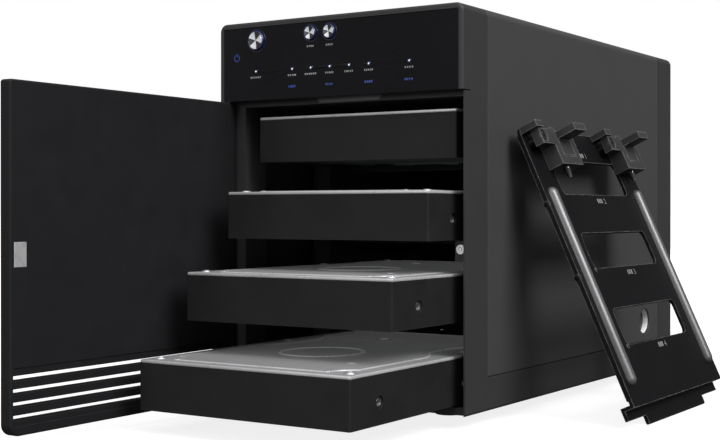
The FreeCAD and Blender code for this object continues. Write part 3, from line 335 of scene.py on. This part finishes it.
# A lighter copy of the cover's metal: a painted highlight on the cover's edge, rib, ring and pivot.
LID_HIGHLIGHT = surface("lid_painted_highlight", (0.36, 0.36, 0.365), 0.30, 0.3, grain=0.003, mottle=0.08)
PIN = surface("pin_steel", (0.55, 0.55, 0.56), 0.28, 0.8, grain=0.004, mottle=0.15)
WELL = surface("well_steel", (0.70, 0.70, 0.70), 0.35, 0.2, grain=0.01, grain_scale=900, mottle=0.3)
GOLD = surface("contact_gold", (0.80, 0.58, 0.22), 0.25, 1.0, grain=0.004)
INK = surface("legend_ink", (0.16, 0.16, 0.16), 0.5, grain=0.004, mottle=0.25, specular=0.2)
LABEL = surface("label_ink", (0.15, 0.15, 0.15), 0.5, grain=0.004, mottle=0.25, specular=0.2)
BLUE = surface("legend_blue", (0.022, 0.045, 0.20), 0.45, grain=0.004, mottle=0.2, specular=0.2)
CHIP = surface("chip_epoxy", (0.02, 0.02, 0.022), 0.55, grain=0.01)
DEEP = surface("lamp_surround", (0.003, 0.005, 0.025), 0.2, grain=0.003)
LAMP = glowing("lamp_light", (0.72, 0.84, 1.0), 0.5)
THREAD = surface("thread_steel", (0.24, 0.24, 0.25), 0.35, 0.7, grain=0.006, mottle=0.3)

SLOTS = {row["node"]: row["material_slot"] for row in frame["record"]["subparts"]}


# The CAD nodes: rounded edges and their own materials

BEVELS = {
    "front_bezel": 0.35, "control_panel": 0.1, "housing_shell": 0.25, "base_tray": 0.25,
    "rear_bezel": 0.35, "rear_panel": 0.15, "power_inlet": 0.2, "data_ports": 0.12,
    "door_grip_strip": 0.3, "magnet_bracket": 0.15, "lock_port": 0.1, "top_shelf": 0.15,
    "main_board": 0.1, "cage_left": 0.15, "cage_right": 0.15, "cage_cross_bars": 0.2,
    "backplane_board": 0.1, "backplane_connectors": 0.2, "fan_frame": 0.4, "door_panel": 0.12,
    "strike_plate": 0.2, "retainer_plate": 0.3, "latch_housing_left": 0.5,
    "latch_housing_right": 0.5, "latch_slide_left": 0.6, "latch_slide_right": 0.6,
    "panel_board": 0.1, "tact_switches": 0.2,
}
for number in range(1, 5):
    BEVELS["drive_%d_casting" % number] = 0.35
    BEVELS["drive_%d_board" % number] = 0.1


def soften(thing, width):
    """Join the split vertices and round what is sharper than 30 degrees."""
    weld = thing.modifiers.new("weld", "WELD")
    weld.merge_threshold = 0.002 * MM
    bevel = thing.modifiers.new("bevel", "BEVEL")
    bevel.width = width * MM
    bevel.segments = 2
    bevel.limit_method = "ANGLE"
    bevel.angle_limit = math.radians(30)
    bevel.miter_outer = "MITER_ARC"
    normals = thing.modifiers.new("normals", "WEIGHTED_NORMAL")
    normals.keep_sharp = False
    normals.weight = 90


for node, thing in frame["nodes"].items():
    thing.data.materials.clear()
    slot = SLOTS[node]
    thing.data.materials.append(NODE_LOOKS.get(node, LOOKS.get(slot, LOOKS["housing_black"])))
    if "custom_normal" in thing.data.attributes:
        thing.data.attributes.remove(thing.data.attributes["custom_normal"])
    for face in thing.data.polygons:
        face.use_smooth = True
    if node in BEVELS:
        soften(thing, BEVELS[node])


# New pieces

def piece(name, bm, look, body, replaces=(), sharp=35):
    """Turn a finished bmesh into a piece that rides on a body."""
    bmesh.ops.recalc_face_normals(bm, faces=bm.faces)
    mesh = bpy.data.meshes.new(name)
    bm.to_mesh(mesh)
    bm.free()
    for face in mesh.polygons:
        face.use_smooth = True
    mesh.set_sharp_from_angle(angle=math.radians(sharp))
    thing = bpy.data.objects.new(name, mesh)
    bpy.context.scene.collection.objects.link(thing)
    for one in look if isinstance(look, (list, tuple)) else [look]:
        mesh.materials.append(one)
    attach(thing, body)
    if replaces:
        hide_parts(*replaces)
    return thing


def skin(bm, rings, close_start=True, close_end=True, matrix=None):
    """Faces between rings of points that all have the same count."""
    rows = [[bm.verts.new(matrix @ Vector(p) if matrix else p) for p in ring] for ring in rings]
    count = len(rows[0])
    for near, far in zip(rows, rows[1:]):
        for k in range(count):
            bm.faces.new((near[k], near[(k + 1) % count], far[(k + 1) % count], far[k]))
    if close_start:
        bm.faces.new(list(reversed(rows[0])))
    if close_end:
        bm.faces.new(rows[-1])


def lathe(bm, matrix, profile, steps=48, lobes=None, caps=True):
    """Turn (radius, height) pairs about local z. lobes(angle, index) scales the radius of a ring."""
    rings = []
    for index, (radius, height) in enumerate(profile):
        ring = []
        for k in range(steps):
            angle = 2 * math.pi * k / steps
            reach = max(radius, 0.001) * (lobes(angle, index) if lobes else 1)
            ring.append((reach * math.cos(angle), reach * math.sin(angle), height))
        rings.append(ring)
    skin(bm, rings, caps, caps, matrix)


def rounded(x0, x1, y0, y1, radius, steps=8):
    """A rounded rectangle's points, anticlockwise."""
    points = []
    for cx, cy, start in ((x1, y1, 0), (x0, y1, 90), (x0, y0, 180), (x1, y0, 270)):
        mx, my = (-1 if cx == x1 else 1), (-1 if cy == y1 else 1)
        for k in range(steps + 1):
            angle = math.radians(start + 90 * k / steps)
            points.append((cx + mx * radius + radius * math.cos(angle),
                           cy + my * radius + radius * math.sin(angle)))
    return points


def slab(bm, matrix, x0, x1, y0, y1, z0, z1, radius, edge, steps=6):
    """A plate with rounded corners and rounded top and bottom edges."""
    rings = []
    for inset, height in ((edge, z0), (edge * 0.3, z0 + edge * 0.3), (0, z0 + edge), (0, z1 - edge),
                          (edge * 0.3, z1 - edge * 0.3), (edge, z1)):
        outline = rounded(x0 + inset, x1 - inset, y0 + inset, y1 - inset,
                          max(radius - inset, 0.02), steps)
        rings.append([(x, y, height) for x, y in outline])
    skin(bm, rings, matrix=matrix)


def recessed_head(bm, matrix, radius, height, lobes, depth=0.5, shank=0, shank_radius=0):
    """A domed screw head with a driver recess of that many lobes, and its shank behind."""
    def shape(angle, index):
        if index < first_recess:
            return 1
        return 1 + (0.22 if lobes == 6 else 0.55) * math.cos(lobes * angle)
    profile = []
    if shank:
        profile += [(shank_radius * 0.7, -shank), (shank_radius, -shank + 0.4), (shank_radius, -0.01)]
    profile += [(radius * 0.98, 0), (radius, height * 0.25), (radius * 0.93, height * 0.62),
                (radius * 0.78, height * 0.88), (radius * 0.60, height)]
    first_recess = len(profile)
    profile += [(radius * 0.42, height), (radius * 0.40, height - depth * 0.2),
                (radius * 0.38, height - depth), (radius * 0.1, height - depth * 1.05)]
    lathe(bm, matrix, profile, 48, shape)


# Drive covers, with their raised middle, ring and pivot

LID_HALF, LID_FRONT, LID_BACK, LID_LOW, LID_TOP = 50.7, 0.1, 146.9, 18.6, 19.8
LID_SCREWS = [(side * 46, back) for side in (-1, 1) for back in (6.8, 87, 140)]
RING_AT, PIVOT_AT, VENT_AT = (-3, 55.5), (-10, 111), (30, 30)
FIELD_RISE = 0.3


def plateau_outline():
    """The raised field's edge: in from the cover's edge, round each screw, and waisted at the back half."""
    side, notch, waist = 44, 8.7, 8.5
    waist_from, waist_long = 61, 52
    right = []

    def round_screw(place, start, end):
        for k in range(13):
            angle = math.radians(start + (end - start) * k / 12)
            right.append((place[0] + notch * math.cos(angle), place[1] + notch * math.sin(angle)))
    round_screw(LID_SCREWS[3], 190, 103.3)
    for k in range(25):
        t = k / 24
        ramp = min(1, 2.7 * min(t, 1 - t))
        right.append((side - waist * ramp * ramp * (3 - 2 * ramp), waist_from + waist_long * t))
    round_screw(LID_SCREWS[5], 256.7, 167)
    return right + [(-x, y) for x, y in reversed(right)]


def drawn_in(points, distance):
    """The outline moved inwards by a small distance."""
    moved = []
    count = len(points)
    for k, (x, y) in enumerate(points):
        ax, ay = points[k - 1]
        bx, by = points[(k + 1) % count]
        dx, dy = bx - ax, by - ay
        length = math.hypot(dx, dy) or 1
        moved.append((x - dy / length * distance, y + dx / length * distance))
    return moved


def edge_band(corner, profile):
    """Rings round the cover's own edge, one for each (inset, height)."""
    return [[(x, y, height) for x, y in rounded(-LID_HALF + inset, LID_HALF - inset, LID_FRONT + inset,
                                                LID_BACK - inset, corner - inset, 5)]
            for inset, height in profile]


def field_band(profile):
    """Rings round the raised field, one for each (inset, height over the cover's flat)."""
    outline = plateau_outline()
    return [[(x, y, LID_TOP + height) for x, y in drawn_in(outline, inset)] for inset, height in profile]


def on_cover(number, place, height=LID_TOP + FIELD_RISE):
    """Axes for a round feature at that place on a drive's cover."""
    return drive_axes(number) @ Matrix.Translation((*place, height))


def drive_cover(number):
    """The stamped cover: its edge, the raised field, and the discs on it."""
    at = drive_axes(number)
    bm = bmesh.new()
    skin(bm, edge_band(0.8, [(0.1, LID_LOW + 0.02), (0, LID_LOW + 0.12), (0, LID_TOP - 0.35),
                             (0.12, LID_TOP - 0.1), (0.4, LID_TOP)]), matrix=at)
    skin(bm, field_band([(0, -0.05), (0.15, 0.15), (0.4, 0.27), (0.7, FIELD_RISE)]), matrix=at)
    lathe(bm, on_cover(number, RING_AT), [(8.6, -0.05), (8.4, 0.03), (8.0, 0.05), (0.3, 0.05)], 64)
    lathe(bm, on_cover(number, PIVOT_AT),
          [(8.2, -0.05), (8.0, 0.04), (7.4, 0.07), (3.1, 0.07), (2.8, 0.0), (0.2, 0.0)], 48)
    lathe(bm, on_cover(number, VENT_AT),
          [(1.9, -0.05), (1.8, 0.08), (1.3, 0.1), (1.1, -0.02), (0.1, -0.02)], 32)
    piece("drive_%d_cover" % number, bm, LID, "drive_%d" % number,
          ["drive_%d_lid" % number], 30)


def drive_cover_lines(number):
    """What shines on the cover: its edge, the rib round the raised field, the ring and the pivot, as a
    painted highlight in a lighter colour.
    """
    at = drive_axes(number)
    bm = bmesh.new()
    skin(bm, edge_band(0.84, [(0, LID_LOW + 0.12), (-0.04, LID_LOW + 0.25), (-0.04, LID_TOP - 0.4),
                              (0.06, LID_TOP - 0.12), (0.35, LID_TOP + 0.01)]), False, False, at)
    skin(bm, field_band([(0.0, 0.0), (0.12, 0.22), (0.35, 0.36), (0.6, 0.38), (0.85, 0.3)]),
         False, False, at)
    lathe(bm, on_cover(number, RING_AT), [(16.0, -0.05), (16.3, 0.1), (16.7, 0.32), (17.1, 0.38),
                                          (17.5, 0.32), (17.9, 0.1), (18.2, -0.05)], 96, caps=False)
    lathe(bm, on_cover(number, PIVOT_AT, LID_TOP + FIELD_RISE - 0.05),
          [(2.3, 0), (2.2, 0.3), (1.9, 0.5), (1.3, 0.62), (0.6, 0.62), (0.5, 0.3), (0.1, 0.3)], 40)
    piece("drive_%d_cover_lines" % number, bm, LID_HIGHLIGHT, "drive_%d" % number, (), 40)


def drive_trim(number):
    """Cover screws, and the bright threads in the side holes."""
    at = drive_axes(number)
    bm = bmesh.new()
    for x, y in LID_SCREWS:
        spin = Matrix.Rotation(random.uniform(0, 6), 4, "Z")
        lathe(bm, at @ Matrix.Translation((x, y, LID_TOP)), [(2.7, -0.03), (2.6, 0.08), (1.8, 0.1)], 32)
        recessed_head(bm, at @ Matrix.Translation((x, y, LID_TOP + 0.05)) @ spin, radius=1.9,
                      height=0.55, lobes=6, depth=0.4)
        if y < 10:
            lathe(bm, at @ Matrix.Translation((x * 0.79, y - 0.3, LID_TOP + 0.25)),
                  [(1.1, -0.1), (1.0, 0.15), (0.7, 0.28), (0.1, 0.32)], 24)
    piece("drive_%d_cover_screws" % number, bm, LOOKS["screw_steel"], "drive_%d" % number,
          ["drive_%d_screws" % number])
    bm = bmesh.new()
    for side in (-1, 1):
        for back in (18.5, 78.5):
            out = Matrix.Rotation(side * math.pi / 2, 4, "Y")
            hole = at @ Matrix.Translation((side * 50.8, back, 8.4)) @ out
            lathe(bm, hole, [(1.58, -2.9), (1.58, -0.7), (1.42, -0.6), (1.3, -0.85), (1.42, -1.1),
                             (1.3, -1.35), (1.42, -1.6), (1.3, -1.85), (1.4, -2.2), (1.3, -2.9),
                             (0.1, -3.0)], 36)
    piece("drive_%d_threads" % number, bm, THREAD, "drive_%d" % number)


def drive_electronics(number):
    """Chips on the board under a drive."""
    at = drive_axes(number)
    bm = bmesh.new()
    for x, y, w, l in ((-8, 78, 14, 14), (18, 70, 9, 12), (-30, 98, 8, 6), (22, 104, 12, 8),
                       (2, 118, 10, 5), (-26, 62, 6, 9), (32, 88, 5, 5)):
        slab(bm, at, x - w / 2, x + w / 2, y - l / 2, y + l / 2, -0.35, 0.62, 0.3, 0.12, 2)
    piece("drive_%d_chips" % number, bm, CHIP, "drive_%d" % number)


for number in range(1, 5):
    drive_cover(number)
    drive_cover_lines(number)
    drive_trim(number)
    drive_electronics(number)


# Buttons, lamps and legends on the control panel: buttons as (across, up, radius)

BUTTONS = {"power_button": (-42, 156.6, 4.3), "sync_button": (-12.5, 157.9, 3.1),
           "mode_button": (-2.5, 157.8, 3.1)}


def button_cap(name, radius):
    """A turned cap with its flange and stem."""
    centre = Vector((middle(name).x, GROUND.y, middle(name).z))
    bm = bmesh.new()
    lathe(bm, axes_at(centre, X, Z, -Y),
          [(0.2, -8), (1.2, -7.9), (1.2, -6.1), (radius + 0.9, -6.1), (radius + 1, -6.0),
           (radius + 1, -5.2), (radius, -5.1), (radius, 0.45), (radius - 0.08, 0.65),
           (radius - 0.22, 0.82), (radius - 0.42, 0.9), (radius * 0.86, 0.9), (radius * 0.845, 0.8),
           (radius * 0.80, 0.8), (radius * 0.785, 0.88), (radius * 0.5, 0.72), (radius * 0.2, 0.62),
           (0.05, 0.6)], 72)
    piece(name + "_cap", bm, turned(name + "_metal", centre, (0.66, 0.67, 0.70), 0.22, radius), name,
          [name], 25)


for name, (_, _, radius) in BUTTONS.items():
    button_cap(name, radius)

LAMPS = [-42.4, -22.4, -12.4, -2.4, 7.6, 17.6, 37.6]
LAMP_UP, LAMP_TEXT_UP, BLUE_TEXT_UP, BUTTON_TEXT_UP = 143.15, 140.5, 135.6, 152.3
LAMP_TEXTS = [(6.2, 6), (4.6, 4), (6.4, 6), (4.6, 5), (4.6, 5), (4.6, 5), (4.6, 4)]
BLUE_TEXTS = [-22.4, -2.6, 17.6, 37.4]
POWER_ICON = (-53.2, 149.6)
PANEL_FACE = 0.2


def lamps():
    """Lit lenses, and dark rings round them and round the buttons."""
    lenses, surrounds = bmesh.new(), bmesh.new()
    for across in LAMPS:
        at = facing_front(across, 0, LAMP_UP)
        lathe(lenses, at, [(0.55, -14), (0.6, -13.8), (0.6, -0.6), (0.38, -0.4), (0.33, -0.14),
                           (0.2, -0.1), (0.05, -0.09)], 24)
        lathe(surrounds, at, [(0.36, -0.3), (0.37, -0.16), (0.5, -0.1), (0.9, -0.12), (0.95, -0.19),
                              (0.95, -0.3)], 40, caps=False)
    for across, up, radius in BUTTONS.values():
        lathe(surrounds, facing_front(across, 0, up),
              [(radius + 0.2, -0.3), (radius + 0.22, -0.12), (radius + 0.75, -0.1), (radius + 0.8, -0.19),
               (radius + 0.8, -0.3)], 72, caps=False)
    piece("lamp_lenses", lenses, LAMP, "root", ["light_pipes"])
    piece("lamp_surrounds", surrounds, DEEP, "root")


lamps()


def legend(bm, across, up, width, height, marks):
    """A short generic mark: a row of little bars of uneven width."""
    at = facing_front(across, PANEL_FACE, up)
    gap = width / marks
    for k in range(marks):
        left = -width / 2 + k * gap
        wide = gap * random.uniform(0.55, 0.8)
        slab(bm, at, left, left + wide, -height / 2, height / 2, -0.02, 0.03, 0.08, 0.01, 2)


def legends():
    """White and blue rows of bars under the lamps and buttons, and a power icon."""
    white, blue = bmesh.new(), bmesh.new()
    for across, (width, marks) in zip(LAMPS, LAMP_TEXTS):
        legend(white, across, LAMP_TEXT_UP, width, 0.8, marks)
    for name in ("sync_button", "mode_button"):
        legend(white, BUTTONS[name][0], BUTTON_TEXT_UP, 4.0, 0.8, 4)
    for across in BLUE_TEXTS:
        legend(blue, across, BLUE_TEXT_UP, 4.2, 1.0, 4)
    piece("panel_legends_white", white, INK, "root")
    at = facing_front(POWER_ICON[0], PANEL_FACE, POWER_ICON[1])
    rings = []
    for k in range(25):
        angle = math.radians(125 + 290 * k / 24)
        rings.append([(r * math.cos(angle), r * math.sin(angle), h)
                      for r, h in ((1.25, -0.02), (1.65, -0.02), (1.65, 0.03), (1.25, 0.03))])
    skin(blue, rings, matrix=at)
    slab(blue, at, -0.2, 0.2, 0.3, 1.9, -0.02, 0.03, 0.08, 0.01, 2)
    piece("panel_legends_blue", blue, BLUE, "root")


legends()


# Door magnet

def door_magnet():
    """A flat magnet with a screw hole in its middle."""
    face = Vector((middle("door_magnet").x, lo("door_magnet").y, middle("door_magnet").z))
    bm = bmesh.new()
    lathe(bm, axes_at(face, X, Z, -Y),
          [(1.95, -1.15), (1.98, -0.2), (1.85, -0.03), (1.6, 0), (0.95, 0), (0.9, -0.6), (0.6, -0.6),
           (0.55, -0.05), (0.02, -0.05)], 40)
    piece("door_magnet_face", bm, LOOKS["magnet_white"], "root", ["door_magnet"])


door_magnet()


# Feet

FOOT_RADIUS = 7.5


def feet():
    """Round rubber feet, hollow in the middle of their soles."""
    bm = bmesh.new()
    low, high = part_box("rubber_feet")
    for x in (low.x + FOOT_RADIUS * MM, high.x - FOOT_RADIUS * MM):
        for y in (low.y + FOOT_RADIUS * MM, high.y - FOOT_RADIUS * MM):
            at = axes_at(Vector((x, y, 0)), X, Y, Z)
            lathe(bm, at, [(0.3, 0.5), (2.6, 0.5), (3.0, 0.1), (3.3, 0), (6.1, 0), (6.5, 0.25),
                           (6.7, 0.8), (7.3, 4.6), (FOOT_RADIUS, 5.45), (0.3, 5.49)], 56)
    piece("foot_pads", bm, LOOKS["rubber_black"], "root", ["rubber_feet"])


feet()


# Screws on the back and on the retainer

REAR_PLATE, GRILLE_FACE = 220.2, 222.0
FAN_MIDDLE, FAN_HOLE = (6, 66), 35.75
LATCH_STEP = 69.8


def screw_heads(name, places, look, body, slot, node, **head):
    """A set of equal screws in one piece, in place of a node's plain ones."""
    bm = bmesh.new()
    for place in places:
        recessed_head(bm, place, lobes=4, **head)
    piece(name, bm, look, body, [node])


def at_random_turn(place):
    """The place turned about its own z, as a screw ends wherever it is tight."""
    return place @ Matrix.Rotation(random.uniform(0, 6), 4, "Z")


screw_heads("case_screw_heads",
            [at_random_turn(facing_back(side * 56, REAR_PLATE, 12 + 70.5 * k))
             for side in (-1, 1) for k in range(3)],
            LOOKS["screw_steel"], "root", "screw_steel", "case_screws",
            radius=2.6, height=1.25, depth=0.7, shank=5.2, shank_radius=1.45)
screw_heads("fan_screw_heads",
            [at_random_turn(facing_back(FAN_MIDDLE[0] + dx * FAN_HOLE, GRILLE_FACE,
                                        FAN_MIDDLE[1] + dz * FAN_HOLE))
             for dx in (-1, 1) for dz in (-1, 1)],
            LOOKS["screw_steel"], "root", "screw_steel", "fan_screws",
            radius=3.9, height=1.25, depth=0.7, shank=20, shank_radius=1.45)
screw_heads("latch_screw_heads",
            [on_retainer(6.2, 5.6 + LATCH_STEP * step, 117.7) for step in (0, 1)],
            LOOKS["screw_black"], "retainer", "screw_black", "latch_screws",
            radius=2.55, height=0.95, depth=0.5, shank=7.7, shank_radius=1.35)


# Lock well

WELL_BACK, WELL_UP, WALL_POINTS = 186, 24.6, 72


def lock_well():
    """A dark rim and floor, and a bright wall between them."""
    axis = axes_at(enclosure(0, WELL_BACK, WELL_UP), Y, Z, X)
    bm = bmesh.new()
    lathe(bm, axis, [(0.1, 59.0), (6.6, 59.0), (6.65, 59.1), (6.65, 62.7), (6.6, 62.8), (6.3, 62.8),
                     (6.22, 62.7), (6.22, 59.6), (6.0, 59.5), (0.1, 59.5)], 72)
    piece("lock_cup", bm, LOOKS["housing_black"], "root", ["lock_port"])
    bm = bmesh.new()
    turns = [2 * math.pi * k / WALL_POINTS for k in range(WALL_POINTS)]
    walls = [[(radius * math.cos(turn), radius * math.sin(turn), height) for turn in turns]
             for radius, height in ((6.22, 59.6), (6.22, 62.2), (6.1, 62.1), (6.1, 59.6))]
    skin(bm, walls + walls[:1], False, False, axis)
    bmesh.ops.remove_doubles(bm, verts=bm.verts, dist=0.001 * MM)
    piece("lock_wall", bm, WELL, "root")


lock_well()


# Fan wheel with curved blades

def fan_wheel():
    """A hub with seven blades, each swept, twisted and thinner at its tip."""
    bm = bmesh.new()
    at = facing_back(FAN_MIDDLE[0], 0, FAN_MIDDLE[1])
    lathe(bm, at, [(0.2, 196.6), (15.8, 196.6), (16.6, 196.9), (17, 197.6), (17, 214.6), (16.7, 215.2),
                   (15.9, 215.5), (13.2, 215.5), (12.9, 215.2), (0.2, 215.2)], 72)
    blades, across, along = 7, 9, 7
    hub, tip = 16.4, 36.4
    for blade in range(blades):
        start = 2 * math.pi * blade / blades
        faces = []
        for thick in (0.5, -0.5):
            grid = []
            for i in range(across):
                t = i / (across - 1)
                radius = hub + (tip - hub) * t
                row = []
                for j in range(along):
                    s = j / (along - 1)
                    sweep = math.radians(-13 - 9 * t + (34 + 8 * t) * s + 10 * t * t)
                    depth = 198.2 + 14.8 * (s + 0.09 * math.sin(math.pi * s))
                    thin = thick * (1.2 - 0.6 * t) * math.sin(math.pi * (0.12 + 0.76 * s))
                    angle = start + sweep
                    row.append(Vector((radius * math.cos(angle), radius * math.sin(angle), depth + thin)))
                grid.append(row)
            faces.append(grid)
        rings = []
        for i in range(across):
            rings.append(faces[0][i] + list(reversed(faces[1][i])))
        skin(bm, rings, matrix=at)
    piece("fan_wheel", bm, LOOKS["fan_black"], "fan", ["fan_rotor"], 40)


fan_wheel()


# Contacts in the sockets on the back

def socket_contacts():
    """Gold contacts in the two data sockets, and the pin in the power inlet."""
    bm = bmesh.new()
    for left, wide, high, count in ((-32, 12, 10.9, 4), (-8, 14, 5.4, 7)):
        level = 137.2 + high / 2
        for k in range(count):
            x = left + 3.4 + (wide - 6.8) * k / (count - 1)
            at = axes_at(enclosure(x, 219.2, level), X, Y, Z)
            slab(bm, at, -0.35, 0.35, -6.5, 0, 0.78, 0.95, 0.1, 0.04, 2)
            if count == 4:
                slab(bm, at, -0.35, 0.35, -6.5, 0, -0.95, -0.78, 0.1, 0.04, 2)
    lathe(bm, facing_back(27, 0, 142.7),
          [(1.0, 212), (1.16, 212.2), (1.16, 219.4), (0.9, 219.9), (0.1, 220)], 24)
    piece("socket_contacts", bm, GOLD, "root")


socket_contacts()


# The retainer: pads, pins and bay digits

RETAINER_WIDTH = 102.9


def retainer_rods():
    """Half-round rods with ball ends along both edges of the plate."""
    bm = bmesh.new()
    radius, low_end, high_end, steps, turns = 2.8, 11.3, 94.2, 8, 20
    slopes = [math.pi / 2 * k / steps for k in range(steps + 1)]
    for across in (6.5, RETAINER_WIDTH - 6.5):
        rings = []
        ends = [(radius * math.sin(slope), low_end - radius * math.cos(slope)) for slope in slopes]
        tops = [(r, low_end + high_end - u) for r, u in reversed(ends)]
        for r, u in ends + tops:
            ring = []
            for k in range(turns):
                angle = math.pi * k / (turns - 1) - math.pi / 2
                ring.append((max(0.0, r * math.cos(angle)) - 0.15, across + r * math.sin(angle), u))
            rings.append(ring)
        skin(bm, rings, matrix=RETAINER)
    bmesh.ops.remove_doubles(bm, verts=bm.verts, dist=0.02 * MM)
    piece("retainer_rods", bm, LOOKS["pad_grey"], "retainer", ["retainer_pads"], 50)


retainer_rods()


def latch_pin(side, step):
    """The steel pin that stands out of a latch's lower end."""
    bm = bmesh.new()
    lathe(bm, RETAINER @ Matrix.Translation((3.4, 23 + LATCH_STEP * step, 0)),
          [(0.3, 100.38), (0.6, 100.4), (0.85, 100.65), (1.55, 104.1), (1.6, 104.4), (1.6, 108.6),
           (0.3, 108.7)], 36)
    piece("latch_pin_" + side, bm, PIN, "latch_" + side)


latch_pin("left", 0)
latch_pin("right", 1)

LABELS_ACROSS = 53


def bay_label(number, across, along):
    """A bay number printed on the retainer, as a flat text object, with three bars before it."""
    text = bpy.data.curves.new("bay_digit_%d" % number, "FONT")
    text.body = str(number)
    text.size = 2.6 * MM / 0.72
    text.align_x = "CENTER"
    text.extrude = 0.02 * MM
    text.materials.append(LABEL)
    thing = bpy.data.objects.new("bay_digit_%d" % number, text)
    bpy.context.scene.collection.objects.link(thing)
    place = on_retainer(0.02, across + 3.4, along - 1.3)
    thing.matrix_world = Matrix.Translation(place.translation) @ place.to_3x3().normalized().to_4x4()
    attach(thing, "retainer")
    bm = bmesh.new()
    at = on_retainer(0, across, along)
    for left in (-4.3, -2.4, -0.5):
        slab(bm, at, left, left + 1.3, -1.1, 1.1, -0.02, 0.03, 0.3, 0.01, 2)
    piece("bay_bars_%d" % number, bm, LABEL, "retainer")


for number, along in enumerate((113.5, 91, 56.6, 22.3), start=1):
    bay_label(number, LABELS_ACROSS, along)


def retainer_rivets():
    """Two small rivets on the plate's face and two on its side."""
    bm = bmesh.new()
    for along in (58.9, 24.5):
        lathe(bm, on_retainer(0, 17.5, along),
              [(1.1, -0.05), (1.0, 0.2), (0.7, 0.35), (0.45, 0.3), (0.1, 0.1)], 24)
    for along in (89.7, 56.6):
        out_of_side = Matrix(((0, 1, 0, -1.2), (0, 0, -1, 0.1), (1, 0, 0, along), (0, 0, 0, 1)))
        lathe(bm, RETAINER @ out_of_side, [(1.5, -0.1), (1.4, 0.4), (1.0, 0.7), (0.1, 0.75)], 24)
    piece("retainer_rivets", bm, PLATE, "retainer")


retainer_rivets()


# Floor, light and camera

FLOOR_REACH, FLOOR_GLOW = 30, 0.84


def studio_floor():
    """A pale floor that shows shadows and doesn't light the part from below."""
    corners = [(x * FLOOR_REACH, y * FLOOR_REACH, 0) for x, y in ((-1, -1), (1, -1), (1, 1), (-1, 1))]
    mesh = bpy.data.meshes.new("floor")
    mesh.from_pydata(corners, [], [(0, 1, 2, 3)])
    floor = bpy.data.objects.new("floor", mesh)
    bpy.context.scene.collection.objects.link(floor)
    pale = surface("studio_floor", (0.20, 0.20, 0.20), 0.8, mottle=0.01, specular=0.05)
    shader = pale.node_tree.nodes["Principled BSDF"]
    shader.inputs["Emission Color"].default_value = (1, 1, 1, 1)
    shader.inputs["Emission Strength"].default_value = FLOOR_GLOW
    mesh.materials.append(pale)
    floor.visible_diffuse = False
    floor.visible_glossy = False


studio_floor()


LAMP_SPREAD = math.radians(150)


def area(name, place, target, width, height, power):
    """A rectangular lamp at a place in metres, turned to its target."""
    lamp = bpy.data.lights.new(name, "AREA")
    lamp.shape = "RECTANGLE"
    lamp.size, lamp.size_y = width, height
    lamp.spread = LAMP_SPREAD
    lamp.energy = power
    thing = bpy.data.objects.new(name, lamp)
    bpy.context.scene.collection.objects.link(thing)
    thing.location = place
    thing.rotation_mode = "QUATERNION"
    thing.rotation_quaternion = (Vector(target) - Vector(place)).to_track_quat("-Z", "Y")
    return thing


def overhead_light():
    """A very soft light from above, a little from the front and from the right."""
    sun = bpy.data.lights.new("overhead", "SUN")
    sun.energy = 2.4
    sun.angle = math.radians(70)
    overhead = bpy.data.objects.new("overhead", sun)
    overhead.rotation_euler = (math.radians(18), math.radians(22), 0)
    bpy.context.scene.collection.objects.link(overhead)


overhead_light()
area("right", (1.8, -0.4, 1.5), (0.06, 0, 0.12), 1.3, 1.3, 46)
area("front", (-0.35, -2.4, 0.9), (0.03, -0.1, 0.1), 1.2, 1.2, 14)
area("back", (-0.9, 2.1, 0.7), (0, 0.1, 0.09), 1.2, 1.2, 30).visible_glossy = False

FILL_ABOVE, FILL_WIDTH, FILL_WATTS_PER_METRE = 9 * MM, 0.09, 0.125
BACKPLANE_AT = 0.14


def bay_light(number):
    """A faint fill in the gap over a drive, so that its cover doesn't end in the dark."""
    low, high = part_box("drive_%d_casting" % number)
    front = lo("drive_%d_casting" % max(1, number - 1)).y + 4 * MM
    depth = GROUND.y + BACKPLANE_AT - front
    place = (low.x + high.x) / 2, front + depth / 2, high.z + FILL_ABOVE
    fill = area("bay_fill_%d" % number, place, (place[0], place[1], 0), FILL_WIDTH, depth,
                FILL_WATTS_PER_METRE * depth)
    fill.visible_camera = False
    fill.visible_glossy = False


for number in range(1, 5):
    bay_light(number)

BELOW, ABOVE = 0.28, 1.15
BEHIND, IN_FRONT = 0.22, 0.66


def studio_world():
    """White to the camera. As light it is stronger above and in front than below and behind."""
    world = bpy.data.worlds.new("studio")
    bpy.context.scene.world = world
    world.use_nodes = True
    tree = world.node_tree
    background = tree.nodes["Background"]
    seen = tree.nodes.new("ShaderNodeLightPath").outputs["Is Camera Ray"]
    split = tree.nodes.new("ShaderNodeSeparateXYZ")
    link(tree, tree.nodes.new("ShaderNodeTexCoord").outputs["Generated"], split.inputs[0])
    rise = mapped(tree, split.outputs["Z"], -0.4, 1.0, BELOW, ABOVE)
    ahead = mapped(tree, split.outputs["Y"], 0.6, -0.6, BEHIND, IN_FRONT)
    strength = maths(tree, "MAXIMUM", seen, maths(tree, "MULTIPLY", rise, ahead))
    background.inputs["Color"].default_value = (1, 1, 1, 1)
    link(tree, strength, background.inputs["Strength"])


studio_world()


def picture_camera():
    """Level with the drives, from the front on the right, with the frame shifted and not the view turned."""
    data = bpy.data.cameras.new("camera")
    camera = bpy.data.objects.new("camera", data)
    bpy.context.scene.collection.objects.link(camera)
    camera.location = (0.316718, -0.541044, 0.0874)
    camera.rotation_euler = (math.pi / 2 - 0.0022, 0, 0.5368)
    data.lens = 63.02
    data.sensor_width = 36
    data.shift_x = -0.1389
    data.shift_y = -0.0081
    data.clip_start = 0.01
    bpy.context.scene.camera = camera


picture_camera()
bpy.context.scene.view_settings.view_transform = "Standard"
